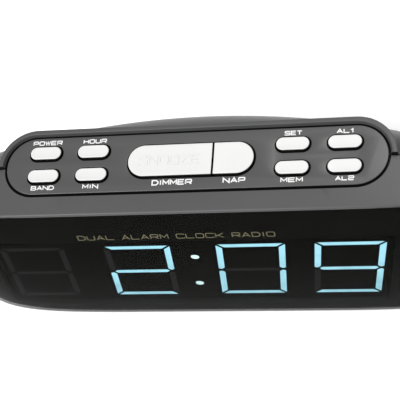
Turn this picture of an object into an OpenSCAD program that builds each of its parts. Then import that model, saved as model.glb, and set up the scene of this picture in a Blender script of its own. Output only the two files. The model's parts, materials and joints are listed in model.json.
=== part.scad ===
// Dual alarm clock radio: a dark two-piece housing with a bowed back, a smoked lens over
// large tilted digits, and a stadium-shaped control panel with ten keys on top.
// Millimetres, Z up, front towards -Y, origin on the table under the middle of the box.

/* [Body] */
// Overall width
body_w = 232; // [230:1:240]
// Height of the flat top above the table
body_top = 89; // [89:0.5:90]
// Height of the underside above the table
body_low = 3.5; // [3:0.5:4.5]
// Distance of the front face ahead of the origin
front_y = 39.7; // [39:0.1:41]
// Corner exponent of the rounded ends
end_power = 6.5; // [6.5:0.5:9]
// Plan radius of the bowed back
back_bow_r = 320; // [320:10:400]
// Wall thickness of both housings
wall = 2.2; // [1.8:0.1:2.2]

/* [Lens] */
// Thickness of the smoked lens
lens_t = 2; // [1.5:0.1:2.1]
// Radius of the lens face from top to bottom
lens_r = 240; // [220:5:240]
// Lean of the lens face at its top edge, in degrees
lens_lean = 18.8; // [18.4:0.1:18.8]

/* [Control panel] */
// Length of the control panel
panel_l = 152.8; // [150:0.2:152.8]
// Depth of the control panel
panel_d = 24.8; // [24:0.2:24.8]
// Height of the panel's top face
panel_top = 88.8; // [88.6:0.1:88.8]
// Distance between key columns in one group
key_pitch_x = 20; // [19:0.5:20]
// Distance between the two key rows
key_pitch_y = 10; // [9.5:0.5:10]
// Length of a small key
key_l = 12.8; // [12:0.1:12.8]
// Depth of a small key
key_w = 5.6; // [5:0.1:5.8]
// Length of the snooze and nap bar
bar_l = 50.2; // [48:0.2:50.4]
// Depth of the snooze and nap bar
bar_w = 13.5; // [12:0.1:13.6]
// Position of the split between snooze and nap
bar_split_x = 9; // [7:0.5:11]
// Height of the key tops
key_top = 90; // [89.8:0.1:90.2]
// Travel of a key
key_travel = 1; // [0.6:0.1:1]

/* [Display] */
// Height of a digit between its top and bottom strokes
digit_h = 43; // [38:0.5:44]
// Width of a digit between its side strokes
digit_w = 25.5; // [22:0.5:26]
// Stroke width of a segment
stroke = 2.5; // [2.3:0.1:3.2]
// Slant of the digits in degrees
digit_slant = 8.1; // [4:0.1:10]
// Lean of the display in degrees
display_lean = 6; // [6:0.5:7]

/* [Hidden] */

// Resolution of the curved shells and of plain round parts
$fn = 48;
mesh_fn = 20;
slot_fn = 14;

// Body form
half_w = body_w / 2;
mid_z = 44;
far = 70;
seam_y = -5.1;
back_top_y = 17.8;
back_slope = 75;
shoulder_r = 22;
foot_r = 6;
lip_r = 1;
lens_top_y = -26.3;
lens_drop = (front_y + lens_top_y) / tan(lens_lean);
lens_run = (front_y + lens_top_y) / sin(lens_lean);
hair = 0.02;
form_lift = 0.12;
// Largest face radius that leaves room for the lip above it and the foot curve below it
lip_room = 1.6;
foot_room = foot_r + 0.2;
face_reach = min(lens_run - lip_room, body_top - body_low - lens_drop - foot_room);
face_r = min(lens_r, face_reach / tan(lens_lean / 2));
STATION_ANGLES = [1.5, 5, 10, 17, 25, 34, 44, 54, 64, 72, 78, 83, 86.5, 88.8, 89.8, 90];

// Lens pocket
lens_half = 111;
lens_high = 87.9;
lens_low = 5;
lens_gap = 0.15;
front_wall = 2;
RIB_XS = [20, 42, 60, 92];

// Control panel and keys
panel_t = 2.2;
panel_y = -4.9;
key_y = -4.4;
panel_gap = 0.8;
rim_w = 2.6;
rim_top = 90.2;
ledge_w = 2.3;
ledge_t = 3;
ledge_gap = 0.1;
ledge_lap = 1.4;
key_gap = 0.6;
key_edge = 0.5;
flange_out = 1;
flange_t = 1;
flange_gap = 0.2;
stem_d = 2.4;
stem_low = 78.6;
inner_col = 40;
outer_col = inner_col + key_pitch_x;
snooze_stem_x = -9;
nap_stem_x = 17;
board_t = 1.6;
key_board_top = 76;
key_board_l = 144;
key_board_d = 19;
switch_w = 6;
switch_h = 3.5;
dome_d = 3;
boss_xs = [-50, -29.4, 29.4, 50];
boss_d = 4.2;

// Display, in its own leaning frame with x to the right and y up the face
display_y = -32.4;
display_z = 41.1;
DIGIT_XS = [-75.5, -30.4, 16.6, 56.4];
DIGIT_LIT = ["", "abged", "abcdef", "abcdfg"];
colon_x = -6.6;
colon_rise = 12.2;
colon_d = 3.4;
reflector_l = 164;
reflector_h = 52;
reflector_t = 8;
reflector_x = -9.5;
segment_t = 1.5;
segment_gap = 0.9;
well_gap = 0.1;
window_gap = 1.5;
display_board_l = 180;
display_board_h = 60;
display_post_d = 5;

// Speaker, in a frame whose z points out through the back face
speaker_z = 41;
speaker_y = back_top_y + (body_top - speaker_z) / tan(back_slope);
speaker_r = 28.5;
seat_z = -4.4;
flange_z = -6;
cone_r = 21.5;
magnet_r = 13;
screw_circle = 31.5;
SPEAKER_SCREWS = [30, 150, 270];
slot_pitch = 4.4;
slot_w = 1.8;
slot_reach = 24.5;
ring_wall = 2.5;

// Vent slots in the back, left of the speaker
vent_x0 = -86;
vent_pitch = 5;
VENT_ZS = [30, 52];

// Case fastening
case_screw_x = 104.5;
CASE_SCREW_ZS = [22, 64];
case_post_d = 7;
case_seat = 2.6;
case_head_d = 6.2;

// Battery bay
bay_x0 = 9;
bay_l = 50;
bay_y0 = -2.6;
bay_d = 22.4;
bay_top = 16.6;
bay_wall = 1.4;
cell_d = 10.3;
cell_l = 44.5;
cell_z = 11;
CELL_YS = [3, 14.2];
door_gap = 0.3;
door_t = 1.6;
barrel_d = 2.4;
pivot_d = 1.2;
latch_h = 2.2;
hinge_y = bay_y0 + door_gap + barrel_d / 2;
hinge_z = body_low + 0.05 + barrel_d / 2;

// Transformer and power board
trafo_x = -73;
trafo_y = 3;
core_l = 36;
core_h = 30;
core_t = 18;
core_z0 = 9;
leg_w = 11;
window_w = 7;
bobbin_out = 4.5;
strap_t = 0.8;
strap_ear = 8;
strap_screw_x = core_l / 2 + strap_ear / 2 + 0.5;
power_x0 = -45;
power_l = 50;
power_y0 = -3.5;
power_d = 29;
power_z = 12;

// Antenna
rod_x0 = 27;
rod_l = 70;
rod_d = 8;
rod_y = 2;
rod_z = 58;
CLIP_XS = [38, 86];

// Feet
foot_d = 12;
foot_sink = 0.8;
FOOT_AT = [[-75, -25], [75, -25], [-75, 13], [75, 13]];

// Cord and antenna grommets in the back
grommet_x = -62;
grommet_z = 18;
grommet_d = 9;
antenna_x = 74;
antenna_d = 5;

// Rating label on the underside: [x, y, length, depth]
LABEL_BOX = [-56, 2, 52, 24];

// Chips sit on the back of the display board: [x, y, length, height].
CHIPS = [[-50, 6, 36, 12], [5, -12, 20, 8], [5, 8, 20, 8]];

// Electrolytic capacitors: [x, y, diameter, height].
CAPACITORS = [[-36, 8, 10, 12], [-26, 3, 8, 9], [-25, 13, 6.3, 7], [-5, 2, 6.3, 7], [-36, 18, 6.3, 7]];

// Wiring: ribbons run in the Y-Z plane, leads through space
DISPLAY_RIBBON = [[-24, 14], [-18, 12], [-11, 14.4], [-4, 22], [0, 24], [3.5, 20], [3, 14]];
KEY_RIBBON = [[-13, 74], [-17.5, 71], [-18.4, 66], [-18, 60], [-19.5, 55]];
SPEAKER_WIRE = [[-21.5, 19.5, 38], [-27, 18, 34], [-29.5, 18.5, 27], [-29.5, 20, 20], [-29.5, 20.5, 14.4]];
TRANSFORMER_WIRE = [[-65, 18, 30], [-60, 19.5, 29], [-53, 17, 25], [-47.5, 13, 19], [-43.3, 11, 15.4]];
BATTERY_WIRE = [[7.2, 12, 15.5], [4, 13, 18], [0, 13.5, 18.5], [-3, 13.5, 17], [-4, 13.5, 15.2]];

// Colours
housing_c = "#5d5d5d";
lens_c = [0.06, 0.06, 0.05, 0.85];
key_c = "#f2f2f2";
board_c = "#2f6b3a";
screw_c = "#b9bcc0";
black_c = "#1b1b1b";
copper_c = "#b5622a";
lit_c = "#8fd8f5";
unlit_c = "#33373a";
steel_c = "#8d9196";
gold_c = "#c9a24a";

// ---- geometry helpers ----
function unit(v) = v / norm(v);
function left(v) = [-v[1], v[0]];
function meet(p, u, q, v) = p + u * (((q - p) * left(v)) / (u * left(v)));

// Moves every edge of a counter-clockwise outline inwards, edge i by d[i].
function inset(pts, d) = let (n = len(pts)) [
    for (i = [0:n - 1]) let (
        before = (i + n - 1) % n,
        u = unit(pts[i] - pts[before]),
        v = unit(pts[(i + 1) % n] - pts[i])
    ) meet(pts[i] + left(u) * d[before], u, pts[i] + left(v) * d[i], v)
];

// Rounds corner i of an outline with radius r[i] in steps[i] chords; 0 keeps it sharp.
function rounded(pts, r, steps) = let (n = len(pts)) [
    for (i = [0:n - 1]) let (
        u = unit(pts[i] - pts[(i + n - 1) % n]),
        v = unit(pts[(i + 1) % n] - pts[i]),
        turn = acos(min(1, u * v)),
        centre = pts[i] - u * (r[i] * tan(turn / 2)) + left(u) * r[i],
        from = atan2(-left(u)[1], -left(u)[0])
    ) for (k = [0:steps[i]]) steps[i] == 0
        ? pts[i]
        : centre + r[i] * [cos(from + turn * k / steps[i]), sin(from + turn * k / steps[i])]
];

// Width station and section scale along the rounded ends.
function station(angle, half) = [half * pow(cos(angle), 2 / end_power), pow(sin(angle), 2 / end_power)];
function stations(half) = let (n = len(STATION_ANGLES)) concat(
    [for (i = [0:n - 1]) station(STATION_ANGLES[i], half)],
    [for (i = [n - 2:-1:0]) let (s = station(STATION_ANGLES[i], half)) [-s[0], s[1]]]
);
function bow(x, on) = on ? x * x / (2 * back_bow_r) : 0;

// Sweeps a Y-Z outline along X, drawing it in towards mid_z at both ends.
module loft(outline, half, bowed = false) {
    runs = stations(half);
    m = len(runs);
    n = len(outline);
    points = [
        for (s = runs) for (p = outline)
            [s[0], p[0] * s[1] - bow(s[0], bowed), mid_z + (p[1] - mid_z) * s[1]]
    ];
    sides = [
        for (j = [0:m - 2]) for (i = [0:n - 1]) let (
            a = j * n + i,
            b = j * n + (i + 1) % n
        ) each [[a, b, a + n], [b, b + n, a + n]]
    ];
    caps = [[for (i = [n - 1:-1:0]) i], [for (i = [0:n - 1]) (m - 1) * n + i]];
    polyhedron(points = points, faces = concat(sides, caps), convexity = 6);
}

// The front of the body with its lens face; front and walls are inset separately.
module front_form(front_in = 0, wall_in = 0) {
    outline = [
        [far, body_top],
        [lens_top_y, body_top],
        [-front_y, body_top - lens_drop],
        [-front_y, body_low],
        [far, body_low]
    ];
    moved = inset(outline, [wall_in, front_in, front_in, wall_in, 0]);
    radii = [0, max(0.4, lip_r - front_in), face_r - front_in, max(1, foot_r - front_in), 0];
    loft(rounded(moved, radii, [0, 2, 8, 4, 0]), half_w - wall_in);
}

// The back of the body with its round shoulder and bowed rear face.
module rear_form(wall_in = 0) {
    outline = [
        [back_top_y, body_top + form_lift],
        [-far, body_top + form_lift],
        [-far, body_low - form_lift],
        [back_top_y + (body_top - body_low) / tan(back_slope), body_low - form_lift]
    ];
    moved = inset(outline, [wall_in, 0, wall_in, wall_in]);
    radii = [shoulder_r - wall_in, 0, 0, max(1, foot_r - wall_in)];
    loft(rounded(moved, radii, [8, 0, 0, 4]), half_w - wall_in, true);
}

module whole_form(front_in = 0, wall_in = 0) {
    intersection() {
        front_form(front_in, wall_in);
        rear_form(wall_in);
    }
}

module ahead_of_seam() {
    translate([-half_w - 1, seam_y - 2 * far, -1]) cube([body_w + 2, 2 * far, 2 * far]);
}

module behind_seam() {
    translate([-half_w - 1, seam_y, -1]) cube([body_w + 2, 2 * far, 2 * far]);
}

// Space taken by the lens, swept like the body so that its edges follow the ends.
module lens_space(grow = 0) {
    outline = [
        [-far, lens_high + grow],
        [-far, lens_low - grow],
        [-15, lens_low - grow],
        [-15, lens_high + grow]
    ];
    intersection() {
        loft(outline, half_w + 1);
        translate([-lens_half - grow, -far - 1, 0]) cube([2 * (lens_half + grow), far, body_top + 2]);
    }
}

// A stadium prism standing on z = 0.
module stadium(l, w, h) {
    translate([-(l - w) / 2, -w / 2, 0]) cube([l - w, w, h]);
    for (side = [-1, 1]) translate([side * (l - w) / 2, 0, 0]) cylinder(h = h, d = w);
}

// A stadium prism whose top edge is rounded.
module soft_stadium(l, w, h, edge) {
    arc = [for (a = [0:30:90]) [w / 2 - edge + edge * cos(a), h - edge + edge * sin(a)]];
    for (side = [-1, 1]) translate([side * (l - w) / 2, 0, 0])
        rotate_extrude() polygon(concat([[0, 0], [w / 2, 0]], arc, [[0, h]]));
    mirrored = [for (i = [len(arc) - 1:-1:0]) [-arc[i][0], arc[i][1]]];
    translate([-(l - w) / 2, 0, 0]) rotate([90, 0, 90]) linear_extrude(l - w)
        polygon(concat([[-w / 2, 0], [w / 2, 0]], arc, mirrored));
}

// A pan-head screw along -z, with its head standing on z = 0.
module screw(head_d, head_h, shank_d, shank_l) {
    difference() {
        cylinder(h = head_h, d = head_d);
        for (turn = [0, 90]) rotate(turn)
            translate([-head_d * 0.3, -head_d * 0.06, head_h * 0.5])
                cube([head_d * 0.6, head_d * 0.12, head_h]);
    }
    translate([0, 0, -shank_l]) cylinder(h = shank_l + hair, d = shank_d);
}

// A round wire swept along points, as one closed tube.
module wire(points, d, sides = 8) {
    n = len(points);
    rings = [
        for (i = [0:n - 1]) let (
            ahead = unit(points[min(n - 1, i + 1)] - points[max(0, i - 1)]),
            across = unit(cross(ahead, abs(ahead[2]) > 0.9 ? [1, 0, 0] : [0, 0, 1])),
            over = cross(across, ahead)
        ) for (k = [0:sides - 1])
            points[i] + d / 2 * (across * cos(360 * k / sides) + over * sin(360 * k / sides))
    ];
    tube = [
        for (i = [0:n - 2]) for (k = [0:sides - 1]) let (
            a = i * sides + k,
            b = i * sides + (k + 1) % sides
        ) each [[a, b, a + sides], [b, b + sides, a + sides]]
    ];
    ends = [[for (k = [sides - 1:-1:0]) k], [for (k = [0:sides - 1]) (n - 1) * sides + k]];
    polyhedron(points = rings, faces = concat(tube, ends), convexity = 4);
}

// Points of a smooth curve through hand-chosen points.
function smooth(pts, steps = 4) = let (n = len(pts)) [
    for (i = [0:n - 2]) for (k = [0:steps - (i == n - 2 ? 0 : 1)]) let (
        t = k / steps,
        a = pts[max(0, i - 1)],
        b = pts[i],
        c = pts[i + 1],
        e = pts[min(n - 1, i + 2)]
    ) (2 * b + (c - a) * t + (2 * a - 5 * b + 4 * c - e) * t * t + (3 * b - a - 3 * c + e) * t * t * t) / 2
];

module in_display() {
    translate([0, display_y, display_z]) rotate([90 - display_lean, 0, 0]) children();
}

module in_speaker() {
    translate([0, speaker_y, speaker_z]) rotate([-back_slope, 0, 0]) children();
}

// ---- housings ----
module panel_hole(grow, z0, z1) {
    translate([0, panel_y, z0]) stadium(panel_l + 2 * grow, panel_d + 2 * grow, z1 - z0);
}

// The ledge that the panel rests on, joined to the top wall all round.
module panel_ledge() {
    ledge_top = panel_top - panel_t - ledge_gap;
    difference() {
        panel_hole(panel_gap + ledge_lap, ledge_top - ledge_t, body_top - 1);
        panel_hole(panel_gap, ledge_top, body_top);
        panel_hole(panel_gap - ledge_w, ledge_top - ledge_t - 1, body_top);
    }
}

// A round post or bore along Y.
module boss(x, z, y0, y1, d) {
    translate([x, y0, z]) rotate([-90, 0, 0]) cylinder(h = y1 - y0, d = d, $fn = mesh_fn);
}

// The reflector's outline, with ends that slant like the digits, grown by gap.
module reflector_block(gap, z0, z1) {
    l = reflector_l / 2 + gap;
    h = reflector_h / 2 + gap;
    outline = [[-l, -h], [l, -h], [l, h], [-l, h]];
    translate([reflector_x, 0, z0]) linear_extrude(z1 - z0) polygon([for (p = outline) slanted(p)]);
}

module display_boss_places() {
    for (sx = [-1, 1], sy = [-1, 1])
        translate([reflector_x + sx * (display_board_l / 2 - 3), sy * (display_board_h / 2 - 3.5), 0])
            children();
}

module foot_pockets() {
    for (p = FOOT_AT) translate([p[0], p[1], 0])
        cylinder(h = body_low + foot_sink, d = foot_d + 0.4, $fn = mesh_fn);
}

// Runs along Y at the four case screws.
module case_bosses(y0, y1, d) {
    for (side = [-1, 1], z = CASE_SCREW_ZS) boss(side * case_screw_x, z, y0, y1, d);
}

module front_housing() {
    color(housing_c) {
        difference() {
            intersection() {
                whole_form();
                ahead_of_seam();
            }
            whole_form(lens_t + lens_gap + front_wall, wall);
            difference() {
                lens_space(lens_gap);
                front_form(lens_t + lens_gap, -1);
            }
            panel_hole(panel_gap, body_top - wall - 1, body_top + 2);
            in_display() reflector_block(window_gap, -far, far);
            foot_pockets();
        }
        intersection() {
            whole_form(lens_t + lens_gap + front_wall - 0.5, wall - 0.8);
            ahead_of_seam();
            difference() {
                union() {
                    panel_ledge();
                    case_bosses(-far / 2, seam_y, case_post_d);
                    in_display() display_boss_places()
                        translate([0, 0, -reflector_t])
                            cylinder(h = far / 2, d = display_post_d, $fn = mesh_fn);
                    for (side = [-1, 1], x = RIB_XS) stiffening_rib(side * x);
                }
                case_bosses(seam_y - 13, seam_y + 1, 2.4);
                in_display() display_boss_places()
                    translate([0, 0, -reflector_t - 1]) cylinder(h = 7, d = 1.8, $fn = mesh_fn);
            }
        }
    }
}

// A low rib across the front housing's floor.
module stiffening_rib(x) {
    hull() {
        translate([x - 0.6, -32, body_low + 1]) cube([1.2, 26, 0.5]);
        translate([x - 0.6, -28, body_low + 1]) cube([1.2, 20, 3]);
    }
}

// The raised band behind the control panel.
module rear_rim() {
    difference() {
        hull() {
            panel_hole(panel_gap + rim_w, body_top - 12, rim_top - 0.5);
            panel_hole(panel_gap + rim_w - 0.5, rim_top - 0.6, rim_top);
        }
        hull() {
            panel_hole(panel_gap, body_top - 13, rim_top - 0.3);
            panel_hole(panel_gap + 0.3, rim_top - 0.3, rim_top + 0.1);
        }
    }
}

module speaker_screw_places() {
    for (a = SPEAKER_SCREWS) rotate(a) translate([screw_circle, 0, flange_z]) children();
}

module speaker_slots() {
    for (i = [-5:5]) {
        reach = sqrt(pow(slot_reach, 2) - pow(i * slot_pitch, 2));
        hull() for (side = [-1, 1])
            translate([side * reach, i * slot_pitch, seat_z - 2]) cylinder(h = 12, d = slot_w, $fn = slot_fn);
    }
}

module vent_slots() {
    for (i = [0:6]) hull() for (z = VENT_ZS)
        translate([vent_x0 + i * vent_pitch, far, z]) rotate([90, 0, 0])
            cylinder(h = far - 2, d = slot_w, $fn = slot_fn);
}

module power_screw_places() {
    for (x = [power_x0 + 4, power_x0 + power_l - 4], y = [power_y0 + 4, power_y0 + power_d - 4])
        translate([x, y, 0]) children();
}

module rear_bosses() {
    case_bosses(seam_y, far, case_head_d + wall);
    in_speaker() {
        translate([0, 0, flange_z]) cylinder(h = 12, r = speaker_r + ring_wall, $fn = 36);
        speaker_screw_places() cylinder(h = 12, d = 6, $fn = mesh_fn);
    }
    power_screw_places() cylinder(h = power_z - 0.1, d = 5, $fn = mesh_fn);
    for (side = [-1, 1]) translate([trafo_x + side * strap_screw_x, trafo_y, 0])
        cylinder(h = core_z0 - 0.1, d = 7, $fn = mesh_fn);
    for (side = [-1, 1]) translate([trafo_x + side * 8 - 3, trafo_y - 8, 0]) cube([6, 16, core_z0 - 0.1]);
    translate([bay_x0 - bay_wall, bay_y0 - bay_wall, 0])
        cube([bay_l + 2 * bay_wall, bay_d + 2 * bay_wall, bay_top + bay_wall]);
    for (x = CLIP_XS) translate([x - 2, rod_y - 1, rod_z - 7]) cube([4, far, 14]);
}

module rear_housing() {
    color(housing_c) difference() {
        union() {
            difference() {
                intersection() {
                    whole_form();
                    behind_seam();
                }
                whole_form(wall, wall);
            }
            intersection() {
                whole_form(wall / 2, wall / 2);
                behind_seam();
                rear_bosses();
            }
            intersection() {
                union() {
                    rear_rim();
                    panel_ledge();
                }
                behind_seam();
            }
        }
        panel_hole(panel_gap, panel_top - panel_t - ledge_gap, rim_top + 2);
        panel_hole(panel_gap - ledge_w, body_top - 10, rim_top + 2);
        case_bosses(seam_y - 1, far, 3.4);
        case_bosses(seam_y + case_seat, far, case_head_d);
        in_speaker() {
            speaker_slots();
            translate([0, 0, -25]) cylinder(h = 25 + seat_z, r = speaker_r + 0.3, $fn = 40);
            translate([0, 0, seat_z - hair]) cylinder(h = -seat_z - wall, r = speaker_r - 3, $fn = 40);
            speaker_screw_places() translate([0, 0, -1]) cylinder(h = 4.4, d = 1.8, $fn = slot_fn);
        }
        vent_slots();
        power_screw_places() translate([0, 0, body_low + wall]) cylinder(h = power_z, d = 1.8, $fn = slot_fn);
        for (side = [-1, 1]) translate([trafo_x + side * strap_screw_x, trafo_y, body_low + wall])
            cylinder(h = core_z0, d = 2, $fn = slot_fn);
        translate([bay_x0, bay_y0, -1]) cube([bay_l, bay_d, bay_top + 1]);
        translate([bay_x0 - 1.2, hinge_y, hinge_z]) rotate([0, 90, 0])
            cylinder(h = bay_l + 2.4, d = pivot_d + 0.3, $fn = slot_fn);
        for (x = CLIP_XS) translate([x - 3, rod_y, rod_z]) {
            rotate([0, 90, 0]) cylinder(h = 6, d = rod_d + 0.3, $fn = mesh_fn);
            translate([0, -3, 1 - rod_d / 2]) cube([6, 3, rod_d - 2]);
        }
        foot_pockets();
        boss(grommet_x, grommet_z, 0, far, grommet_d + 0.2);
        boss(antenna_x, grommet_z, 0, far, antenna_d + 0.2);
    }
}

module display_lens() {
    color(lens_c) intersection() {
        difference() {
            front_form();
            front_form(lens_t, -1);
        }
        lens_space();
    }
}

// ---- control panel and keys ----
module control_panel() {
    low = panel_top - panel_t;
    color(housing_c) difference() {
        union() {
            translate([0, panel_y, low]) soft_stadium(panel_l, panel_d, panel_t, 0.4);
            for (x = boss_xs) translate([x, key_y, key_board_top + 0.05])
                cylinder(h = low - key_board_top, d = boss_d);
        }
        for (col = [-outer_col, -inner_col, inner_col, outer_col], row = [-1, 1])
            translate([col, key_y + row * key_pitch_y / 2, low - 1])
                stadium(key_l + 2 * key_gap, key_w + 2 * key_gap, panel_t + 2);
        translate([0, key_y, low - 1]) stadium(bar_l + 2 * key_gap, bar_w + 2 * key_gap, panel_t + 2);
        for (x = boss_xs) translate([x, key_y, key_board_top - 1]) cylinder(h = 8, d = 1.7);
    }
}

// One key: rounded cap, retaining flange and the stem that works its switch.
module key(l, w, stem_x = 0, x_from = -far, x_to = far) {
    low = panel_top - panel_t - flange_gap - flange_t;
    color(key_c) intersection() {
        union() {
            translate([0, 0, low]) soft_stadium(l, w, key_top - low, key_edge);
            translate([0, 0, low]) stadium(l + 2 * flange_out, w + 2 * flange_out, flange_t);
            translate([stem_x, 0, stem_low]) cylinder(h = low - stem_low + hair, d = stem_d);
            for (turn = [0, 90]) translate([stem_x, 0, low - 3]) rotate(turn)
                translate([-stem_d, -0.5, 0]) cube([2 * stem_d, 1, 3 + hair]);
        }
        translate([x_from, -far, stem_low - 1]) cube([x_to - x_from, 2 * far, far]);
    }
}

module small_key(column, row) {
    translate([column, key_y + row * key_pitch_y / 2, 0]) key(key_l, key_w);
}

module power_key() { small_key(-outer_col, 1); }
module hour_key() { small_key(-inner_col, 1); }
module band_key() { small_key(-outer_col, -1); }
module minute_key() { small_key(-inner_col, -1); }
module set_key() { small_key(inner_col, 1); }
module alarm1_key() { small_key(outer_col, 1); }
module memory_key() { small_key(inner_col, -1); }
module alarm2_key() { small_key(outer_col, -1); }
module snooze_key() { translate([0, key_y, 0]) key(bar_l, bar_w, snooze_stem_x, -far, bar_split_x - 0.3); }
module nap_key() { translate([0, key_y, 0]) key(bar_l, bar_w, nap_stem_x, bar_split_x + 0.3, far); }

module switch_places() {
    for (col = [-outer_col, -inner_col, inner_col, outer_col], row = [-1, 1])
        translate([col, key_y + row * key_pitch_y / 2, key_board_top]) children();
    for (x = [snooze_stem_x, nap_stem_x]) translate([x, key_y, key_board_top]) children();
}

module key_board() {
    color(board_c) difference() {
        translate([-key_board_l / 2, panel_y - key_board_d / 2, key_board_top - board_t])
            cube([key_board_l, key_board_d, board_t]);
        for (x = boss_xs) translate([x, key_y, key_board_top - 3]) cylinder(h = 5, d = 2.4);
    }
}

module key_switches() {
    color(black_c) switch_places() difference() {
        translate([-switch_w / 2, -switch_w / 2, hair]) cube([switch_w, switch_w, switch_h - hair]);
        translate([0, 0, 1.2]) cylinder(h = switch_h, d = dome_d + 0.4);
    }
}

module switch_domes() {
    color(gold_c) switch_places() translate([0, 0, 1.2 + hair]) cylinder(h = 0.25, d = dome_d);
}

module key_board_screws() {
    color(screw_c) for (x = boss_xs) translate([x, key_y, key_board_top - board_t])
        rotate([180, 0, 0]) screw(4.4, 1.6, 1.6, 7);
}

// ---- display ----
function slanted(p) = [p[0] + p[1] * tan(digit_slant), p[1]];

// Outline of one segment, from a to g, about the middle of its digit.
function segment_outline(name) = let (
    w = digit_w / 2,
    h = digit_h / 2,
    t = stroke / 2,
    g = segment_gap,
    bar = [[-w - t + g, h + t], [w + t - g, h + t], [w - t - g, h - t], [-w + t + g, h - t]],
    side = [
        [w + t, h + t - g], [w + t, t / 2 + g], [w, g], [w - t, t + g], [w - t, h - t - g]
    ],
    middle = [[-w + g, 0], [-w + t + g, t], [w - t - g, t], [w - g, 0], [w - t - g, -t], [-w + t + g, -t]]
) name == "a" ? bar
    : name == "d" ? [for (p = bar) [p[0], -p[1]]]
    : name == "b" ? side
    : name == "c" ? [for (p = side) [p[0], -p[1]]]
    : name == "f" ? [for (p = side) [-p[0], p[1]]]
    : name == "e" ? [for (p = side) [-p[0], -p[1]]]
    : middle;

module segment(name, grow = 0) {
    outline = [for (p = segment_outline(name)) slanted(p)];
    middle = [for (k = [0, 1]) (max([for (p = outline) p[k]]) + min([for (p = outline) p[k]])) / 2];
    translate(middle) polygon([for (p = outline) (p - middle) * (1 + grow)]);
}

module digit_segments(lit, depth, grow = 0) {
    for (i = [0:3], name = ["a", "b", "c", "d", "e", "f", "g"])
        if ((len(search(name, DIGIT_LIT[i])) > 0) == lit)
            translate([DIGIT_XS[i], 0, -depth]) linear_extrude(depth) segment(name, grow);
}

module colon_marks(d, depth) {
    for (side = [-1, 1]) translate(concat(slanted([0, side * colon_rise]), -depth))
        translate([colon_x, 0, 0]) cylinder(h = depth, d = d);
}

module display_board() {
    color(board_c) in_display() difference() {
        translate([reflector_x - display_board_l / 2, -display_board_h / 2, -reflector_t - board_t])
            cube([display_board_l, display_board_h, board_t]);
        display_boss_places() translate([0, 0, -reflector_t - 3]) cylinder(h = 5, d = 2.4);
    }
}

module display_reflector() {
    color(black_c) in_display() difference() {
        reflector_block(0, -reflector_t + 0.05, 0);
        translate([0, 0, 1]) {
            digit_segments(true, reflector_t + 2, 0.02);
            digit_segments(false, reflector_t + 2, 0.02);
            colon_marks(colon_d + 2 * well_gap, reflector_t + 2);
        }
        display_boss_places() translate([0, 0, -reflector_t - 1])
            cylinder(h = reflector_t + 2, d = display_post_d + 0.6);
    }
}

module lit_segments() {
    color(lit_c) in_display() digit_segments(true, segment_t);
}

module unlit_segments() {
    color(unlit_c) in_display() digit_segments(false, segment_t);
}

module colon_dots() {
    color(lit_c) in_display() colon_marks(colon_d, segment_t);
}

module display_screws() {
    color(screw_c) in_display() display_boss_places()
        translate([0, 0, -reflector_t - board_t]) rotate([180, 0, 0]) screw(4.4, 1.6, 1.7, 6);
}

module control_chips() {
    color(black_c) in_display() for (c = CHIPS) translate([c[0], c[1], -reflector_t - board_t]) {
        translate([-c[2] / 2, -c[3] / 2, -3.4]) cube([c[2], c[3], 3]);
        for (i = [0:c[2] / 2.54 - 1], side = [-1, 1])
            translate([-c[2] / 2 + 1 + i * 2.54, side * (c[3] / 2 + 0.3) - 0.3, -2.4]) cube([0.6, 0.6, 2.35]);
    }
}

module tuner_can() {
    color(steel_c) in_display() translate([46, 2, -reflector_t - board_t - 0.05]) difference() {
        translate([-16, -12, -9]) cube([32, 24, 9]);
        for (x = [-8, 0, 8]) translate([x, 0, -10]) cylinder(h = 3, d = 3);
    }
}

module clock_crystal() {
    color(steel_c) in_display() translate([-20, -18, -reflector_t - board_t - 0.05]) {
        translate([0, 0, -4]) cylinder(h = 3.4, d = 3);
        for (side = [-1, 1]) translate([side * 0.6, 0, -0.7]) cylinder(h = 0.7, d = 0.5);
    }
}

// ---- power supply ----
module power_board() {
    color(board_c) difference() {
        translate([power_x0, power_y0, power_z]) cube([power_l, power_d, board_t]);
        power_screw_places() translate([0, 0, power_z - 1]) cylinder(h = 4, d = 2.4);
    }
}

module power_capacitors() {
    color(black_c) for (c = CAPACITORS) translate([c[0], c[1], power_z + board_t + 0.02]) {
        cylinder(h = c[3] - 0.4, d = c[2]);
        cylinder(h = c[3], d = c[2] - 1);
    }
}

module amplifier_chip() {
    color(steel_c) translate([-12, 10, power_z + board_t + 0.02]) {
        translate([-6, -4, 0.6]) cube([12, 8, 3]);
        for (i = [0:3], side = [-1, 1]) translate([-4.1 + i * 2.54, side * 4.2 - 0.3, 0]) cube([0.6, 0.6, 2]);
    }
}

module power_board_screws() {
    color(screw_c) power_screw_places() translate([0, 0, power_z + board_t]) screw(4.4, 1.6, 1.6, 6);
}

module transformer_core() {
    color(steel_c) translate([trafo_x, trafo_y, core_z0]) difference() {
        translate([-core_l / 2, -core_t / 2, 0]) cube([core_l, core_t, core_h]);
        for (side = [-1, 1]) translate([side * (leg_w + window_w) / 2 - window_w / 2, -core_t, 5])
            cube([window_w, 2 * core_t, core_h - 10]);
    }
}

module transformer_winding() {
    color(copper_c) translate([trafo_x, trafo_y, core_z0 + 5.3]) difference() {
        translate([-leg_w / 2 - window_w + 0.4, -core_t / 2 - bobbin_out, 0])
            cube([leg_w + 2 * window_w - 0.8, core_t + 2 * bobbin_out, core_h - 10.6]);
        translate([-leg_w / 2 - 0.2, -core_t / 2 - 0.2, -1]) cube([leg_w + 0.4, core_t + 0.4, core_h]);
    }
}

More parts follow.
